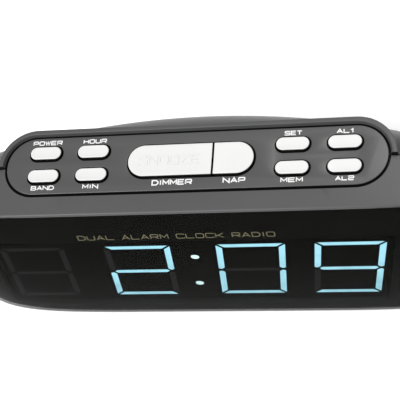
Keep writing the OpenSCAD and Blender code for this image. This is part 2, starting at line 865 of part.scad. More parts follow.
module transformer_strap() {
    reach = core_l / 2 + 0.1;
    color(steel_c) translate([trafo_x, trafo_y, core_z0]) difference() {
        union() {
            translate([-reach - strap_t, -5, 0]) cube([strap_t, 10, core_h + strap_t + 0.1]);
            translate([reach, -5, 0]) cube([strap_t, 10, core_h + strap_t + 0.1]);
            translate([-reach, -5, core_h + 0.1]) cube([2 * reach, 10, strap_t]);
            for (side = [-1, 1]) translate([side * (reach + strap_ear / 2) - strap_ear / 2, -5, 0])
                cube([strap_ear, 10, strap_t]);
        }
        for (side = [-1, 1]) translate([side * strap_screw_x, 0, -1]) cylinder(h = 4, d = 2.6);
    }
}

module transformer_screws() {
    color(screw_c) for (side = [-1, 1])
        translate([trafo_x + side * strap_screw_x, trafo_y, core_z0 + strap_t])
            screw(4.8, 1.8, 1.8, 4);
}

// ---- antenna ----
module ferrite_rod() {
    color(black_c) translate([rod_x0, rod_y, rod_z]) rotate([0, 90, 0]) cylinder(h = rod_l, d = rod_d);
}

module antenna_coil() {
    color(copper_c) translate([52, rod_y, rod_z]) rotate([0, 90, 0]) difference() {
        union() {
            cylinder(h = 22, d = rod_d + 2.4);
            for (x = [0, 20.8]) translate([0, 0, x]) cylinder(h = 1.2, d = rod_d + 4);
        }
        translate([0, 0, -1]) cylinder(h = 24, d = rod_d + 0.1);
    }
}

// ---- speaker ----
module speaker_frame() {
    color(steel_c) in_speaker() difference() {
        rotate_extrude() polygon([
            [25.8, flange_z + 0.8], [speaker_r, flange_z + 0.8], [speaker_r, flange_z], [26.6, flange_z],
            [16, -15], [16, -16.2], [7.6, -16.2], [7.6, -15.4], [15, -15.4], [25.2, flange_z - 0.8]
        ]);
        for (a = [0:60:300]) rotate(a + 30) translate([18, -4, -14.4]) cube([4, 8, 5.4]);
    }
}

module speaker_magnet() {
    color(black_c) in_speaker() {
        difference() {
            translate([0, 0, -24]) cylinder(h = 7.75, r = magnet_r);
            translate([0, 0, -22.4]) cylinder(h = 8, r = 7.6);
        }
        translate([0, 0, -22.5]) cylinder(h = 7.2, r = 6.2);
    }
}

module speaker_surround() {
    color(black_c) in_speaker() rotate_extrude() polygon([
        [cone_r + 0.3, flange_z + 0.9], [22.6, flange_z + 1.5], [24, flange_z + 1.6],
        [25.4, flange_z + 0.9], [28, flange_z + 0.9], [28, flange_z + 1.5], [25.6, flange_z + 1.5],
        [24, flange_z + 2.3], [22.2, flange_z + 2], [cone_r + 0.3, flange_z + 1.4]
    ]);
}

module speaker_cone() {
    color(black_c) in_speaker() rotate_extrude() polygon([
        [0, -9.2], [4, -9.8], [7.4, -11.6], [7.4, -12.2], [20.8, flange_z + 0.9], [cone_r, flange_z + 0.9],
        [cone_r, flange_z + 1.4], [20.6, flange_z + 1.4], [8, -11.2], [4.2, -9.2], [0, -8.6]
    ]);
}

module voice_coil() {
    color(copper_c) in_speaker() translate([0, 0, -20]) difference() {
        cylinder(h = 8.2, r = 7);
        translate([0, 0, -1]) cylinder(h = 11, r = 6.6);
    }
}

module speaker_screws() {
    color(screw_c) in_speaker() speaker_screw_places() rotate([180, 0, 0]) screw(7.4, 1.6, 1.6, 3.2);
}

// ---- battery ----
module battery_door() {
    x0 = bay_x0 + door_gap;
    l = bay_l - 2 * door_gap;
    y1 = bay_y0 + bay_d - door_gap;
    color(housing_c) {
        difference() {
            translate([x0, hinge_y, body_low + 0.05]) cube([l, y1 - hinge_y, door_t]);
            translate([x0 + l / 2, y1 - 7, body_low - 1]) stadium(16, 4, 1.6);
        }
        translate([x0, hinge_y, hinge_z]) rotate([0, 90, 0]) {
            cylinder(h = l, d = barrel_d);
            translate([0, 0, -1.1]) cylinder(h = l + 2.2, d = pivot_d);
        }
        translate([x0 + l / 2 - 5, y1 - 1.2, body_low + 0.05 + door_t - hair]) cube([10, 1.2, latch_h]);
    }
}

module battery_cells() {
    color(steel_c) for (i = [0, 1])
        translate([bay_x0 + bay_l / 2, CELL_YS[i], cell_z]) rotate([0, 90 - 180 * i, 0]) {
            translate([0, 0, -cell_l / 2]) cylinder(h = cell_l - 1, d = cell_d);
            translate([0, 0, cell_l / 2 - 1]) cylinder(h = 1, d = 3.8);
        }
}

module battery_contacts() {
    contact_x = bay_l / 2 - 0.6;
    color(steel_c) for (side = [-1, 1]) translate([bay_x0 + bay_l / 2 + side * contact_x, 0, 0]) {
        for (y = CELL_YS) {
            translate([-0.3, y - 4, cell_z - 4]) cube([0.6, 8, 8]);
            if ((y == CELL_YS[0]) == (side < 0)) translate([0, y, cell_z]) rotate([0, -side * 90, 0])
                cylinder(h = 1.9, d1 = 6, d2 = 4);
        }
        if (side > 0) translate([-0.3, CELL_YS[0], cell_z - 3]) cube([0.6, CELL_YS[1] - CELL_YS[0], 6]);
    }
}

// ---- feet, screws and small parts ----
module rubber_feet() {
    color(black_c) for (p = FOOT_AT) translate([p[0], p[1], 0]) {
        cylinder(h = 1, d1 = foot_d - 1.2, d2 = foot_d);
        translate([0, 0, 1 - hair]) cylinder(h = body_low + foot_sink - 1.05, d = foot_d);
    }
}

module case_screws() {
    color(screw_c) for (side = [-1, 1], z = CASE_SCREW_ZS)
        translate([side * case_screw_x, seam_y + case_seat, z]) rotate([-90, 0, 0]) screw(5.6, 2, 2.3, 12);
}

// The back surface of the housing on the line of a grommet.
function back_at(x, z) = back_top_y + (body_top - z) / tan(back_slope) - bow(x, true);

module grommet(x, d, hole) {
    y = back_at(x, grommet_z);
    color(black_c) translate([x, y, grommet_z]) rotate([-90, 0, 0]) difference() {
        union() {
            translate([0, 0, -4.6]) cylinder(h = 5.2, d = d);
            translate([0, 0, -6.2]) cylinder(h = 1.6, d = d + 3);
        }
        translate([0, 0, -8]) cylinder(h = 12, d = hole);
    }
}

module cord_grommet() { grommet(grommet_x, grommet_d, 4); }
module antenna_grommet() { grommet(antenna_x, antenna_d, 1.8); }

module rating_label() {
    color("silver") translate([LABEL_BOX[0], LABEL_BOX[1], body_low - 0.2])
        cube([LABEL_BOX[2], LABEL_BOX[3], 0.18]);
}

// ---- internal wiring ----
module ribbon(route, x, width, thick) {
    path = smooth(route);
    n = len(path);
    sides = [for (i = [0:n - 1]) unit(left(path[min(n - 1, i + 1)] - path[max(0, i - 1)])) * thick / 2];
    outline = concat([for (i = [0:n - 1]) path[i] + sides[i]], [for (i = [n - 1:-1:0]) path[i] - sides[i]]);
    translate([x - width / 2, 0, 0]) rotate([90, 0, 90]) linear_extrude(width) polygon(outline);
}

module display_ribbon() { color("lightgray") ribbon(DISPLAY_RIBBON, -15.5, 10, 0.8); }
module key_ribbon() { color("lightgray") ribbon(KEY_RIBBON, -20, 16, 0.8); }

module lead_pair(route, d, apart, tint) {
    color(tint) for (shift = [-apart / 2, apart / 2])
        wire([for (p = smooth(route)) p + [0, shift, shift]], d);
}

module speaker_leads() { lead_pair(SPEAKER_WIRE, 1.2, 1.6, "firebrick"); }
module transformer_leads() { lead_pair(TRANSFORMER_WIRE, 1.4, 1.8, "gold"); }
module battery_leads() { lead_pair(BATTERY_WIRE, 1.2, 1.6, "dimgray"); }

front_housing();
rear_housing();
display_lens();
control_panel();
power_key();
hour_key();
band_key();
minute_key();
snooze_key();
nap_key();
set_key();
memory_key();
alarm1_key();
alarm2_key();
key_board();
key_switches();
switch_domes();
key_board_screws();
display_board();
display_reflector();
lit_segments();
unlit_segments();
colon_dots();
display_screws();
control_chips();
tuner_can();
clock_crystal();
power_board();
power_capacitors();
amplifier_chip();
power_board_screws();
transformer_core();
transformer_winding();
transformer_strap();
transformer_screws();
ferrite_rod();
antenna_coil();
speaker_frame();
speaker_magnet();
speaker_surround();
speaker_cone();
voice_coil();
speaker_screws();
battery_door();
battery_cells();
battery_contacts();
rubber_feet();
case_screws();
cord_grommet();
antenna_grommet();
rating_label();
display_ribbon();
key_ribbon();
speaker_leads();
transformer_leads();
battery_leads();
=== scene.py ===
import json
import math

import bmesh
import bpy
from mathutils import Matrix, Vector


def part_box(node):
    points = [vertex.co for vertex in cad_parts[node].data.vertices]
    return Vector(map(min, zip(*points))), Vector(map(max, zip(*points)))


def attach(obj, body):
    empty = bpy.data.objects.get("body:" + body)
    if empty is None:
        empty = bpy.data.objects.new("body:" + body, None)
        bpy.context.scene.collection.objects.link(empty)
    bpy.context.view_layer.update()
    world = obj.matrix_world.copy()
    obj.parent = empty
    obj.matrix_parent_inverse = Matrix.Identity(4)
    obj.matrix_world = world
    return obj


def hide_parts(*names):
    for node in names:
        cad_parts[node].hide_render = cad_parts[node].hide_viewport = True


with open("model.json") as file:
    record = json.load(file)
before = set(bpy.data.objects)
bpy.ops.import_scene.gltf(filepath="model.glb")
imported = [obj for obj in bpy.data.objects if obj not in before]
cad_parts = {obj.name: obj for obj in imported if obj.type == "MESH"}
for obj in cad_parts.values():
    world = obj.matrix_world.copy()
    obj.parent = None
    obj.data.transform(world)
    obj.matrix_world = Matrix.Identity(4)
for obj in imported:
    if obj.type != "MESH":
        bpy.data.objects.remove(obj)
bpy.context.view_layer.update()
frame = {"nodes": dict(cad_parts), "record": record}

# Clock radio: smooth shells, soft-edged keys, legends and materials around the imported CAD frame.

MM = 0.001


def edges(node):
    """Lowest and highest corner of a CAD node, in millimetres."""
    low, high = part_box(node)
    return low / MM, high / MM


# ---- driving dimensions, in millimetres and degrees, read from the frame where it holds them ----
FRONT_LOW, FRONT_HIGH = edges("front_housing")
LENS_LOW, LENS_HIGH = edges("display_lens")
PANEL_LOW, PANEL_HIGH = edges("control_panel")
DOOR_LOW, DOOR_HIGH = edges("battery_door")
FEET_LOW, FEET_HIGH = edges("rubber_feet")

# body form
END_POWER = 6.5  # how square the rounded ends are
FIRST_ANGLE = 1.5  # the outermost section, as an angle in from the very end
HALF_W = FRONT_HIGH.x / math.cos(math.radians(FIRST_ANGLE)) ** (2 / END_POWER)
BODY_TOP = FRONT_HIGH.z
BODY_LOW = FRONT_LOW.z
FRONT_Y = -LENS_LOW.y
MID_Z = 44.0  # height towards which the ends are drawn in
BOW_R = 320.0
BOTTOM_R = 6.0
LEAST_BOTTOM_R = 1.0
SHOULDER_R = 22.0
BACK_TOP_Y = 17.8
BACK_SLOPE = 75.0
REAR_LIFT = 0.02
WALL = 2.2
SEAM_Y = FRONT_HIGH.y
SEAM_GAP = 0.5
LIP_STEPS, FACE_STEPS, BOTTOM_STEPS, SHOULDER_STEPS = 6, 26, 10, 26

# beyond the body, for cutting tools
FAR = 70.0
OUT_X = 120.0
OUT_LOW, OUT_HIGH = -1.0, 100.0
PAST = 1.0
OVERLAP = 0.02

# lens and display window
LENS_LEAN = 18.8
LENS_R = 240.0
LENS_T = 2.0
LENS_GAP = 0.15
LENS_TOP_Y = -26.3
LENS_ROOM_Y = -15.0
LIP_R = 1.0
LEAST_LIP_R = 0.4
FRONT_WALL = 2.0
DISPLAY_Y = -32.4
DISPLAY_Z = 41.1
DISPLAY_LEAN = 6.0
DIGIT_SLANT = 8.1
REFLECTOR_X = -9.5
REFLECTOR_L = 164.0
REFLECTOR_H = 52.0
WINDOW_GAP = 1.5

# control panel, its ledge and the raised rim behind it
PANEL_TOP = PANEL_HIGH.z
PANEL_L = PANEL_HIGH.x - PANEL_LOW.x
PANEL_D = PANEL_HIGH.y - PANEL_LOW.y
PANEL_Y = (PANEL_HIGH.y + PANEL_LOW.y) / 2
PANEL_T = 2.2
PANEL_GAP = 0.8
PANEL_EDGE = 0.3
PANEL_POST_XS = (-50, -29.4, 29.4, 50)
PANEL_POST_R = 2.1
PANEL_POST_BITE = 0.2
PLATE_IN = 0.1
PLATE_BACK = 0.25
OPENING_FILLET = 0.45
LEDGE_GAP = 0.1
LEDGE_TOP = PANEL_TOP - PANEL_T - LEDGE_GAP
LEDGE_W = 2.3
LEDGE_WALL = 1.4
LEDGE_H = 3.0
RIM_TOP = edges("rear_housing")[1].z
RIM_W = 2.6
RIM_BEVEL = 0.5
RIM_BEVEL_DROP = 0.1
RIM_SOFT = 0.7
RIM_ROOT = 12.0
RIM_CUT = 0.4  # the opening is cut to this far under the rim's top
OPENING_DEPTH = 10.0
# how far down the groove's walls are painted black as shade
PAINTED_SHADE_DEPTH = 6.0

# keys
LONG_KEYS = ("snooze_key", "nap_key")
FLANGE = 1.0  # how far the hidden flange stands out
FLANGE_T = 1.0
FLANGE_GAP = 0.2
CAP_T = 0.4
CAP_IN = 0.3
CAP_SOFT = 0.12
KEY_EDGE = 0.35
KEY_DISH = 0.18
KEY_MIDDLE = 0.6
KEY_GAP = 0.72
HOLE_FILLET = 0.15
SKIRT_IN = 0.15
SPLIT_IN = 0.12
STEM_D = 2.4
STEM_XS = {"snooze_key": -9.0, "nap_key": 17.0}

# speaker, vents, screws, battery bay, grommets and feet
SPEAKER_Z = 41.0
SPEAKER_R = 28.5
SPEAKER_GAP = 0.3
SPEAKER_LIP = 3.0
COLLAR_W = 2.5
SEAT_Z = -4.4
FLANGE_Z = -6.0
IN_WALL_Z = 6.0
SPEAKER_ROOM_Z = -25.0
SPEAKER_SCREW_R = 31.5
SPEAKER_SCREW_ANGLES = (30, 150, 270)
SPEAKER_POST_R = 3.0
SLOT_PITCH = 4.4
SLOT_W = 1.8
SLOT_ENDS = (SEAT_Z - 2, 10.0)
SLOT_AREA_R = 24.5
SLOT_ROWS = 5  # on each side of the middle one
VENT_X = -86.0
VENT_PITCH = 5.0
VENT_COUNT = 7
VENT_L = 22.0
VENT_DROP = 3.0
VENT_ENDS = (2.0, FAR)
CASE_SCREWS = [(side * 104.5, z) for side in (-1, 1) for z in (22.0, 64.0)]
FRONT_POST_D = 7.0
REAR_POST_D = 8.4
SCREW_HOLE_D = 3.4
SCREW_HEAD_D = 6.2
SCREW_SEAT = 2.6
BAY_IN_X = 0.8
BAY_GAP_Y = 0.3
BAY_WALL = 1.4
BAY_TOP = 16.6
BAY_ROOF = 18.0
GROMMET_Z = 18.0
GROMMET_HOLES = {"cord_grommet": 9.2, "antenna_grommet": 5.2}
FOOT_HALF = 6.0
FOOT_POCKET_R = 6.2
FOOT_POCKET_TOP = FEET_HIGH.z + 0.05

# facets round a full turn
ROUND, SLOT_STEPS, KEY_STEPS, COLLAR_STEPS, PANEL_STEPS = 48, 24, 64, 72, 96


# ---- plain solids, built in millimetres ----
def object_of(mesh):
    """Puts a mesh in the scene."""
    obj = bpy.data.objects.new(mesh.name, mesh)
    bpy.context.scene.collection.objects.link(obj)
    return obj


def make(name, points, faces):
    """An object of these faces, all turned outwards."""
    mesh = bpy.data.meshes.new(name)
    mesh.from_pydata([tuple(p) for p in points], [], faces)
    work = bmesh.new()
    work.from_mesh(mesh)
    bmesh.ops.recalc_face_normals(work, faces=work.faces)
    work.to_mesh(mesh)
    work.free()
    return object_of(mesh)


def skin(name, rings, loop=False):
    """A closed surface through rings of equally many points; loop joins the last ring to the first."""
    n = len(rings[0])
    last = len(rings) - (0 if loop else 1)
    points = [p for ring in rings for p in ring]
    faces = []
    for j in range(last):
        below, above = j * n, (j + 1) % len(rings) * n
        for i in range(n):
            k = (i + 1) % n
            faces.append((below + i, below + k, above + k, above + i))
    if not loop:
        faces.append(tuple(range(n - 1, -1, -1)))
        faces.append(tuple(range((len(rings) - 1) * n, len(rings) * n)))
    return make(name, points, faces)


def block(x0, y0, z0, x1, y1, z1):
    ring = [(x0, y0), (x1, y0), (x1, y1), (x0, y1)]
    return skin("block", [[(x, y, z) for x, y in ring] for z in (z0, z1)])


def stadium_ring(length, width, x=0.0, y=0.0, steps=ROUND):
    """Outline of a stadium, from the lower right corner counter-clockwise."""
    r = width / 2
    c = length / 2 - r
    ring = []
    for side in (1, -1):
        for k in range(steps // 2 + 1):
            a = math.radians(-90 + 360 * k / steps + (0 if side > 0 else 180))
            ring.append((x + side * c + r * math.cos(a), y + r * math.sin(a)))
    return ring


def stadium_stack(levels, length, width, x, y, steps):
    """A solid of stadium sections; levels holds (height, how far the outline stands out)."""
    rings = []
    for z, out in levels:
        ring = stadium_ring(length + 2 * out, width + 2 * out, x, y, steps)
        rings.append([(px, py, z) for px, py in ring])
    return skin("stadium", rings)


def bar(radius, z0, z1, place, steps=ROUND):
    """A round bar along the Z of place."""
    angles = [2 * math.pi * k / steps for k in range(steps)]
    ring = [(radius * math.cos(a), radius * math.sin(a)) for a in angles]
    return skin("bar", [[place @ Vector((x, y, z)) for x, y in ring] for z in (z0, z1)])


def rod(x, z, y0, y1, d):
    """A round bar along Y."""
    turn = Matrix.Rotation(math.radians(-90), 4, "X")
    return bar(d / 2, 0, y1 - y0, Matrix.Translation((x, y0, z)) @ turn)


def quarter(steps):
    """A quarter circle, as (rise, run) from (0, 0) to (1, 1)."""
    for k in range(steps + 1):
        a = math.radians(90 * k / steps)
        yield math.sin(a), 1 - math.cos(a)


def apply_modifiers(target):
    """Makes the modified mesh the object's own."""
    graph = bpy.context.evaluated_depsgraph_get()
    mesh = bpy.data.meshes.new_from_object(target.evaluated_get(graph))
    target.modifiers.clear()
    target.data = mesh


def carve(target, operation, *tools):
    """Applies one boolean operation with each tool in turn and removes the tools."""
    for tool in tools:
        step = target.modifiers.new("carve", "BOOLEAN")
        step.operation = operation
        step.solver = "MANIFOLD"
        step.object = tool
    apply_modifiers(target)
    for tool in tools:
        bpy.data.objects.remove(tool)
    return target


def soften(target, width, angle=50, segments=3):
    """Rounds the edges that are sharper than angle."""
    step = target.modifiers.new("soften", "BEVEL")
    step.width = width
    step.segments = segments
    step.limit_method = "ANGLE"
    step.angle_limit = math.radians(angle)
    step.harden_normals = False
    apply_modifiers(target)
    return target


# ---- body form ----
def left_of(v):
    return Vector((-v.y, v.x))


def inset(points, distances):
    """Moves every edge of a counter-clockwise outline inwards by its own distance."""
    pts = [Vector(p) for p in points]
    n = len(pts)
    moved = []
    for i in range(n):
        u = (pts[i] - pts[i - 1]).normalized()
        v = (pts[(i + 1) % n] - pts[i]).normalized()
        p = pts[i] + left_of(u) * distances[i - 1]
        q = pts[i] + left_of(v) * distances[i]
        moved.append(p + u * ((q - p).dot(left_of(v)) / u.dot(left_of(v))))
    return moved


def rounded(points, radii, steps):
    """Rounds each corner of an outline with its own radius; no steps leaves it sharp."""
    n = len(points)
    out = []
    for i in range(n):
        if steps[i] == 0:
            out.append(points[i])
            continue
        u = (points[i] - points[i - 1]).normalized()
        v = (points[(i + 1) % n] - points[i]).normalized()
        turn = math.acos(min(1, u.dot(v)))
        centre = points[i] - u * (radii[i] * math.tan(turn / 2)) + left_of(u) * radii[i]
        start = math.atan2(-left_of(u).y, -left_of(u).x)
        for k in range(steps[i] + 1):
            a = start + turn * k / steps[i]
            out.append(centre + radii[i] * Vector((math.cos(a), math.sin(a))))
    return out


def end_scale(x, half):
    """How far the section is drawn in at x by the rounded ends."""
    return (1 - min(1, abs(x) / half) ** END_POWER) ** (1 / END_POWER)


def stations(half, inner_count=28):
    """Places along X with their section scale: close together at the ends, even between."""
    near_end = [FIRST_ANGLE, 2.5, 4, 6, 8, 10, 12.5, 15, *range(18, 31, 3), *range(34, 79, 4)]
    xs = [half * math.cos(math.radians(a)) ** (2 / END_POWER) for a in near_end]
    inner = xs[-1]
    xs += [inner * (1 - 2 * k / inner_count) for k in range(1, inner_count)]
    xs += [-x for x in reversed(xs[:len(near_end)])]
    return [(x, end_scale(x, half)) for x in xs]


def loft(name, outline, half, bowed=False):
    """Sweeps a (Y, Z) outline along X, drawn in at the ends and, if bowed, curved in plan."""
    rings = []
    for x, s in stations(half):
        bow = x * x / (2 * BOW_R) if bowed else 0
        rings.append([(x, y * s - bow, MID_Z + (z - MID_Z) * s) for y, z in outline])
    return skin(name, rings)


def front_form(front_in=0.0, wall_in=0.0):
    """Everything behind the lens face, moved inwards at the front and at the other walls."""
    outline = [
        (FAR, BODY_TOP),
        (LENS_TOP_Y, BODY_TOP),
        (-FRONT_Y, BODY_TOP - (FRONT_Y + LENS_TOP_Y) / math.tan(math.radians(LENS_LEAN))),
        (-FRONT_Y, BODY_LOW),
        (FAR, BODY_LOW),
    ]
    moved = inset(outline, [wall_in, front_in, front_in, wall_in, 0])
    radii = [0, max(LEAST_LIP_R, LIP_R - front_in), LENS_R - front_in, max(LEAST_BOTTOM_R, BOTTOM_R - front_in), 0]
    steps = [0, LIP_STEPS, FACE_STEPS, BOTTOM_STEPS, 0]
    return loft("front_form", rounded(moved, radii, steps), HALF_W - wall_in)


def rear_form(wall_in=0.0):
    """Everything in front of the bowed back; a hair taller than the front form, so that no faces coincide."""
    lean = math.tan(math.radians(BACK_SLOPE))
    outline = [
        (BACK_TOP_Y, BODY_TOP + REAR_LIFT),
        (-FAR, BODY_TOP + REAR_LIFT),
        (-FAR, BODY_LOW - REAR_LIFT),
        (BACK_TOP_Y + (BODY_TOP - BODY_LOW) / lean, BODY_LOW - REAR_LIFT),
    ]
    moved = inset(outline, [wall_in, 0, wall_in, wall_in])
    radii = [SHOULDER_R - wall_in, 0, 0, max(LEAST_BOTTOM_R, BOTTOM_R - wall_in)]
    steps = [SHOULDER_STEPS, 0, 0, BOTTOM_STEPS]
    return loft("rear_form", rounded(moved, radii, steps), HALF_W - wall_in, True)


def whole_form(front_in=0.0, wall_in=0.0):
    """The whole body's outside, or a form inside it."""
    return carve(front_form(front_in, wall_in), "INTERSECT", rear_form(wall_in))


def ahead_of_seam():
    return block(-OUT_X, -FAR, OUT_LOW, OUT_X, SEAM_Y - SEAM_GAP / 2, OUT_HIGH)


def behind_seam():
    return block(-OUT_X, SEAM_Y + SEAM_GAP / 2, OUT_LOW, OUT_X, FAR, OUT_HIGH)


def lens_space(grow):
    """The lens's own place: swept like the body, and cut off short of the rounded ends."""
    outline = [
        (-FAR, LENS_HIGH.z + grow),
        (-FAR, LENS_LOW.z - grow),
        (LENS_ROOM_Y, LENS_LOW.z - grow),
        (LENS_ROOM_Y, LENS_HIGH.z + grow),
    ]
    reach = LENS_HIGH.x + grow
    swept = loft("lens_space", [Vector(p) for p in outline], HALF_W + PAST)
    return carve(swept, "INTERSECT", block(-reach, -FAR - PAST, 0, reach, -PAST, BODY_TOP + 2))


def panel_stack(levels, steps=PANEL_STEPS, back=0.0):
    """A stack of stadiums concentric with the control panel's place, or moved back from it."""
    return stadium_stack(levels, PANEL_L, PANEL_D, 0, PANEL_Y + back, steps)


def panel_hole(out, z0, z1, steps=ROUND):
    return panel_stack([(z0, out), (z1, out)], steps)


def panel_ledge():
    """The shelf that carries the control panel, with the wall round it."""
    ring = panel_hole(PANEL_GAP + LEDGE_WALL, LEDGE_TOP - LEDGE_H, BODY_TOP - 1)
    room = panel_hole(PANEL_GAP, LEDGE_TOP, BODY_TOP)
    opening = panel_hole(PANEL_GAP - LEDGE_W, LEDGE_TOP - LEDGE_H - PAST, BODY_TOP)
    return carve(ring, "DIFFERENCE", room, opening)


def foot_pockets():
    pockets = []
    for x in (FEET_LOW.x + FOOT_HALF, FEET_HIGH.x - FOOT_HALF):
        for y in (FEET_LOW.y + FOOT_HALF, FEET_HIGH.y - FOOT_HALF):
            pockets.append(bar(FOOT_POCKET_R, 0, FOOT_POCKET_TOP, Matrix.Translation((x, y, 0))))
    return pockets


def opening_tool():
    """Cuts the panel's opening with a small rounded upper edge."""
    fillet = OPENING_FILLET
    levels = [(BODY_TOP - WALL - PAST, PANEL_GAP)]
    for rise, run in quarter(4):
        levels.append((BODY_TOP - fillet + fillet * rise, PANEL_GAP + fillet * run))
    levels.append((BODY_TOP + 2, PANEL_GAP + fillet))
    return panel_stack(levels)


def display_window():
    """The opening in front of the reflector, slanted like the digits."""
    lean = Matrix.Rotation(math.radians(90 - DISPLAY_LEAN), 4, "X")
    place = Matrix.Translation((0, DISPLAY_Y, DISPLAY_Z)) @ lean
    l, h = REFLECTOR_L / 2 + WINDOW_GAP, REFLECTOR_H / 2 + WINDOW_GAP
    slope = math.tan(math.radians(DIGIT_SLANT))
    ring = [(REFLECTOR_X + x + y * slope, y) for x, y in ((-l, -h), (l, -h), (l, h), (-l, h))]
    return skin("window", [[place @ Vector((x, y, z)) for x, y in ring] for z in (-FAR / 2, FAR)])


def front_shell():
    """The hollow front half, with the lens pocket, the window and the panel's opening."""
    lens_in = LENS_T + LENS_GAP
    bite_front, bite_side = 0.5, 0.8
    shell = carve(whole_form(), "INTERSECT", ahead_of_seam())
    pocket = carve(lens_space(LENS_GAP), "DIFFERENCE", front_form(lens_in, -1))
    cuts = [whole_form(lens_in + FRONT_WALL, WALL), pocket, opening_tool(), display_window()]
    shell = carve(shell, "DIFFERENCE", *cuts, *foot_pockets())
    inner = whole_form(lens_in + FRONT_WALL - bite_front, WALL - bite_side)
    inner = carve(inner, "INTERSECT", ahead_of_seam())
    fittings = panel_ledge()
    for x, z in CASE_SCREWS:
        fittings = carve(fittings, "UNION", rod(x, z, -FAR / 2, SEAM_Y, FRONT_POST_D))
    return carve(shell, "UNION", carve(fittings, "INTERSECT", inner))


def rim():
    """The raised band round the rear half of the panel, with soft upper edges."""
    soft = RIM_SOFT / 2
    outer = [(BODY_TOP - RIM_ROOT, PANEL_GAP + RIM_W)]
    inner = [(BODY_TOP - (RIM_ROOT + PAST), PANEL_GAP), (PANEL_TOP - RIM_BEVEL_DROP, PANEL_GAP)]
    for rise, run in quarter(5):
        outer.append((RIM_TOP - RIM_SOFT + RIM_SOFT * rise, PANEL_GAP + RIM_W - RIM_SOFT * run))
        inner.append((RIM_TOP - soft + soft * rise, PANEL_GAP + RIM_BEVEL + soft * run))
    inner.append((RIM_TOP + PAST, PANEL_GAP + RIM_BEVEL + soft))
    return carve(panel_stack(outer), "DIFFERENCE", panel_stack(inner))


def speaker_place():
    """On the back's surface, with Z pointing out of it."""
    y = BACK_TOP_Y + (BODY_TOP - SPEAKER_Z) / math.tan(math.radians(BACK_SLOPE))
    return Matrix.Translation((0, y, SPEAKER_Z)) @ Matrix.Rotation(math.radians(-BACK_SLOPE), 4, "X")


def slot_tool(length, z0, z1, place):
    """Cuts a slot of this length between its end rounds."""
    ring = stadium_ring(length + SLOT_W, SLOT_W, steps=SLOT_STEPS)
    return skin("slot", [[place @ Vector((x, y, z)) for x, y in ring] for z in (z0, z1)])


def speaker_slots():
    slots = []
    for i in range(-SLOT_ROWS, SLOT_ROWS + 1):
        reach = math.sqrt(SLOT_AREA_R ** 2 - (i * SLOT_PITCH) ** 2)
        at = speaker_place() @ Matrix.Translation((0, i * SLOT_PITCH, 0))
        slots.append(slot_tool(2 * reach, *SLOT_ENDS, at))
    return slots


def vent_slots():
    slots = []
    upright = Matrix.Rotation(math.radians(-90), 4, "X") @ Matrix.Rotation(math.radians(90), 4, "Z")
    for i in range(VENT_COUNT):
        at = Matrix.Translation((VENT_X + i * VENT_PITCH, 0, MID_Z - VENT_DROP)) @ upright
        slots.append(slot_tool(VENT_L, *VENT_ENDS, at))
    return slots


def rear_fittings():
    """The speaker's collar and posts, the case screw posts and the battery bay, up to the inner walls."""
    place = speaker_place()
    posts = []
    for a in SPEAKER_SCREW_ANGLES:
        turn = Matrix.Rotation(math.radians(a), 4, "Z")
        at = place @ turn @ Matrix.Translation((SPEAKER_SCREW_R, 0, 0))
        posts.append(bar(SPEAKER_POST_R, FLANGE_Z, IN_WALL_Z, at))
    posts += [rod(x, z, SEAM_Y, FAR, REAR_POST_D) for x, z in CASE_SCREWS]
    posts.append(bay_block(BAY_WALL, 0, BAY_ROOF))
    collar = bar(SPEAKER_R + COLLAR_W, FLANGE_Z, IN_WALL_Z, place, COLLAR_STEPS)
    fittings = carve(collar, "UNION", *posts)
    inner = carve(whole_form(WALL / 2, WALL / 2), "INTERSECT", behind_seam())
    return carve(fittings, "INTERSECT", inner)


def bay_block(out, z0, z1):
    """The battery bay's outline over the door, moved outwards."""
    x0, y0 = DOOR_LOW.x + BAY_IN_X, DOOR_LOW.y - BAY_GAP_Y
    x1, y1 = DOOR_HIGH.x - BAY_IN_X, DOOR_HIGH.y + BAY_GAP_Y
    return block(x0 - out, y0 - out, z0, x1 + out, y1 + out, z1)


def rear_shell():
    """The hollow rear half, with the rim, the slots, the screw holes and the battery bay."""
    place = speaker_place()
    shell = carve(whole_form(), "INTERSECT", behind_seam())
    shell = carve(shell, "DIFFERENCE", whole_form(WALL, WALL))
    shell = carve(shell, "UNION", rear_fittings())
    ledge = carve(panel_ledge(), "INTERSECT", behind_seam())
    band = carve(rim(), "INTERSECT", behind_seam())
    shell = carve(shell, "UNION", ledge, band)
    cuts = [
        panel_hole(PANEL_GAP, LEDGE_TOP, RIM_TOP - RIM_CUT, PANEL_STEPS),
        panel_hole(PANEL_GAP - LEDGE_W, BODY_TOP - OPENING_DEPTH, RIM_TOP + 2),
    ]
    for x, z in CASE_SCREWS:
        cuts.append(rod(x, z, SEAM_Y - PAST, FAR, SCREW_HOLE_D))
        cuts.append(rod(x, z, SEAM_Y + SCREW_SEAT, FAR, SCREW_HEAD_D))
    cuts += speaker_slots() + vent_slots()
    cuts.append(bar(SPEAKER_R + SPEAKER_GAP, SPEAKER_ROOM_Z, SEAT_Z, place, COLLAR_STEPS))
    cuts.append(bar(SPEAKER_R - SPEAKER_LIP, SEAT_Z - OVERLAP, -WALL, place, COLLAR_STEPS))
    cuts.append(bay_block(0, -PAST, BAY_TOP))
    for node, hole in GROMMET_HOLES.items():
        low, high = edges(node)
        cuts.append(rod((low.x + high.x) / 2, GROMMET_Z, 0, FAR, hole))
    return carve(shell, "DIFFERENCE", *cuts, *foot_pockets())


def lens_shape():
    """The outermost layer of the front, inside the lens's place."""
    lens = carve(front_form(), "INTERSECT", lens_space(0))
    return carve(lens, "DIFFERENCE", front_form(LENS_T, -1))


# ---- control panel and keys ----
def key_nodes():
    return [n for n in sorted(frame["nodes"]) if n.endswith("_key")]


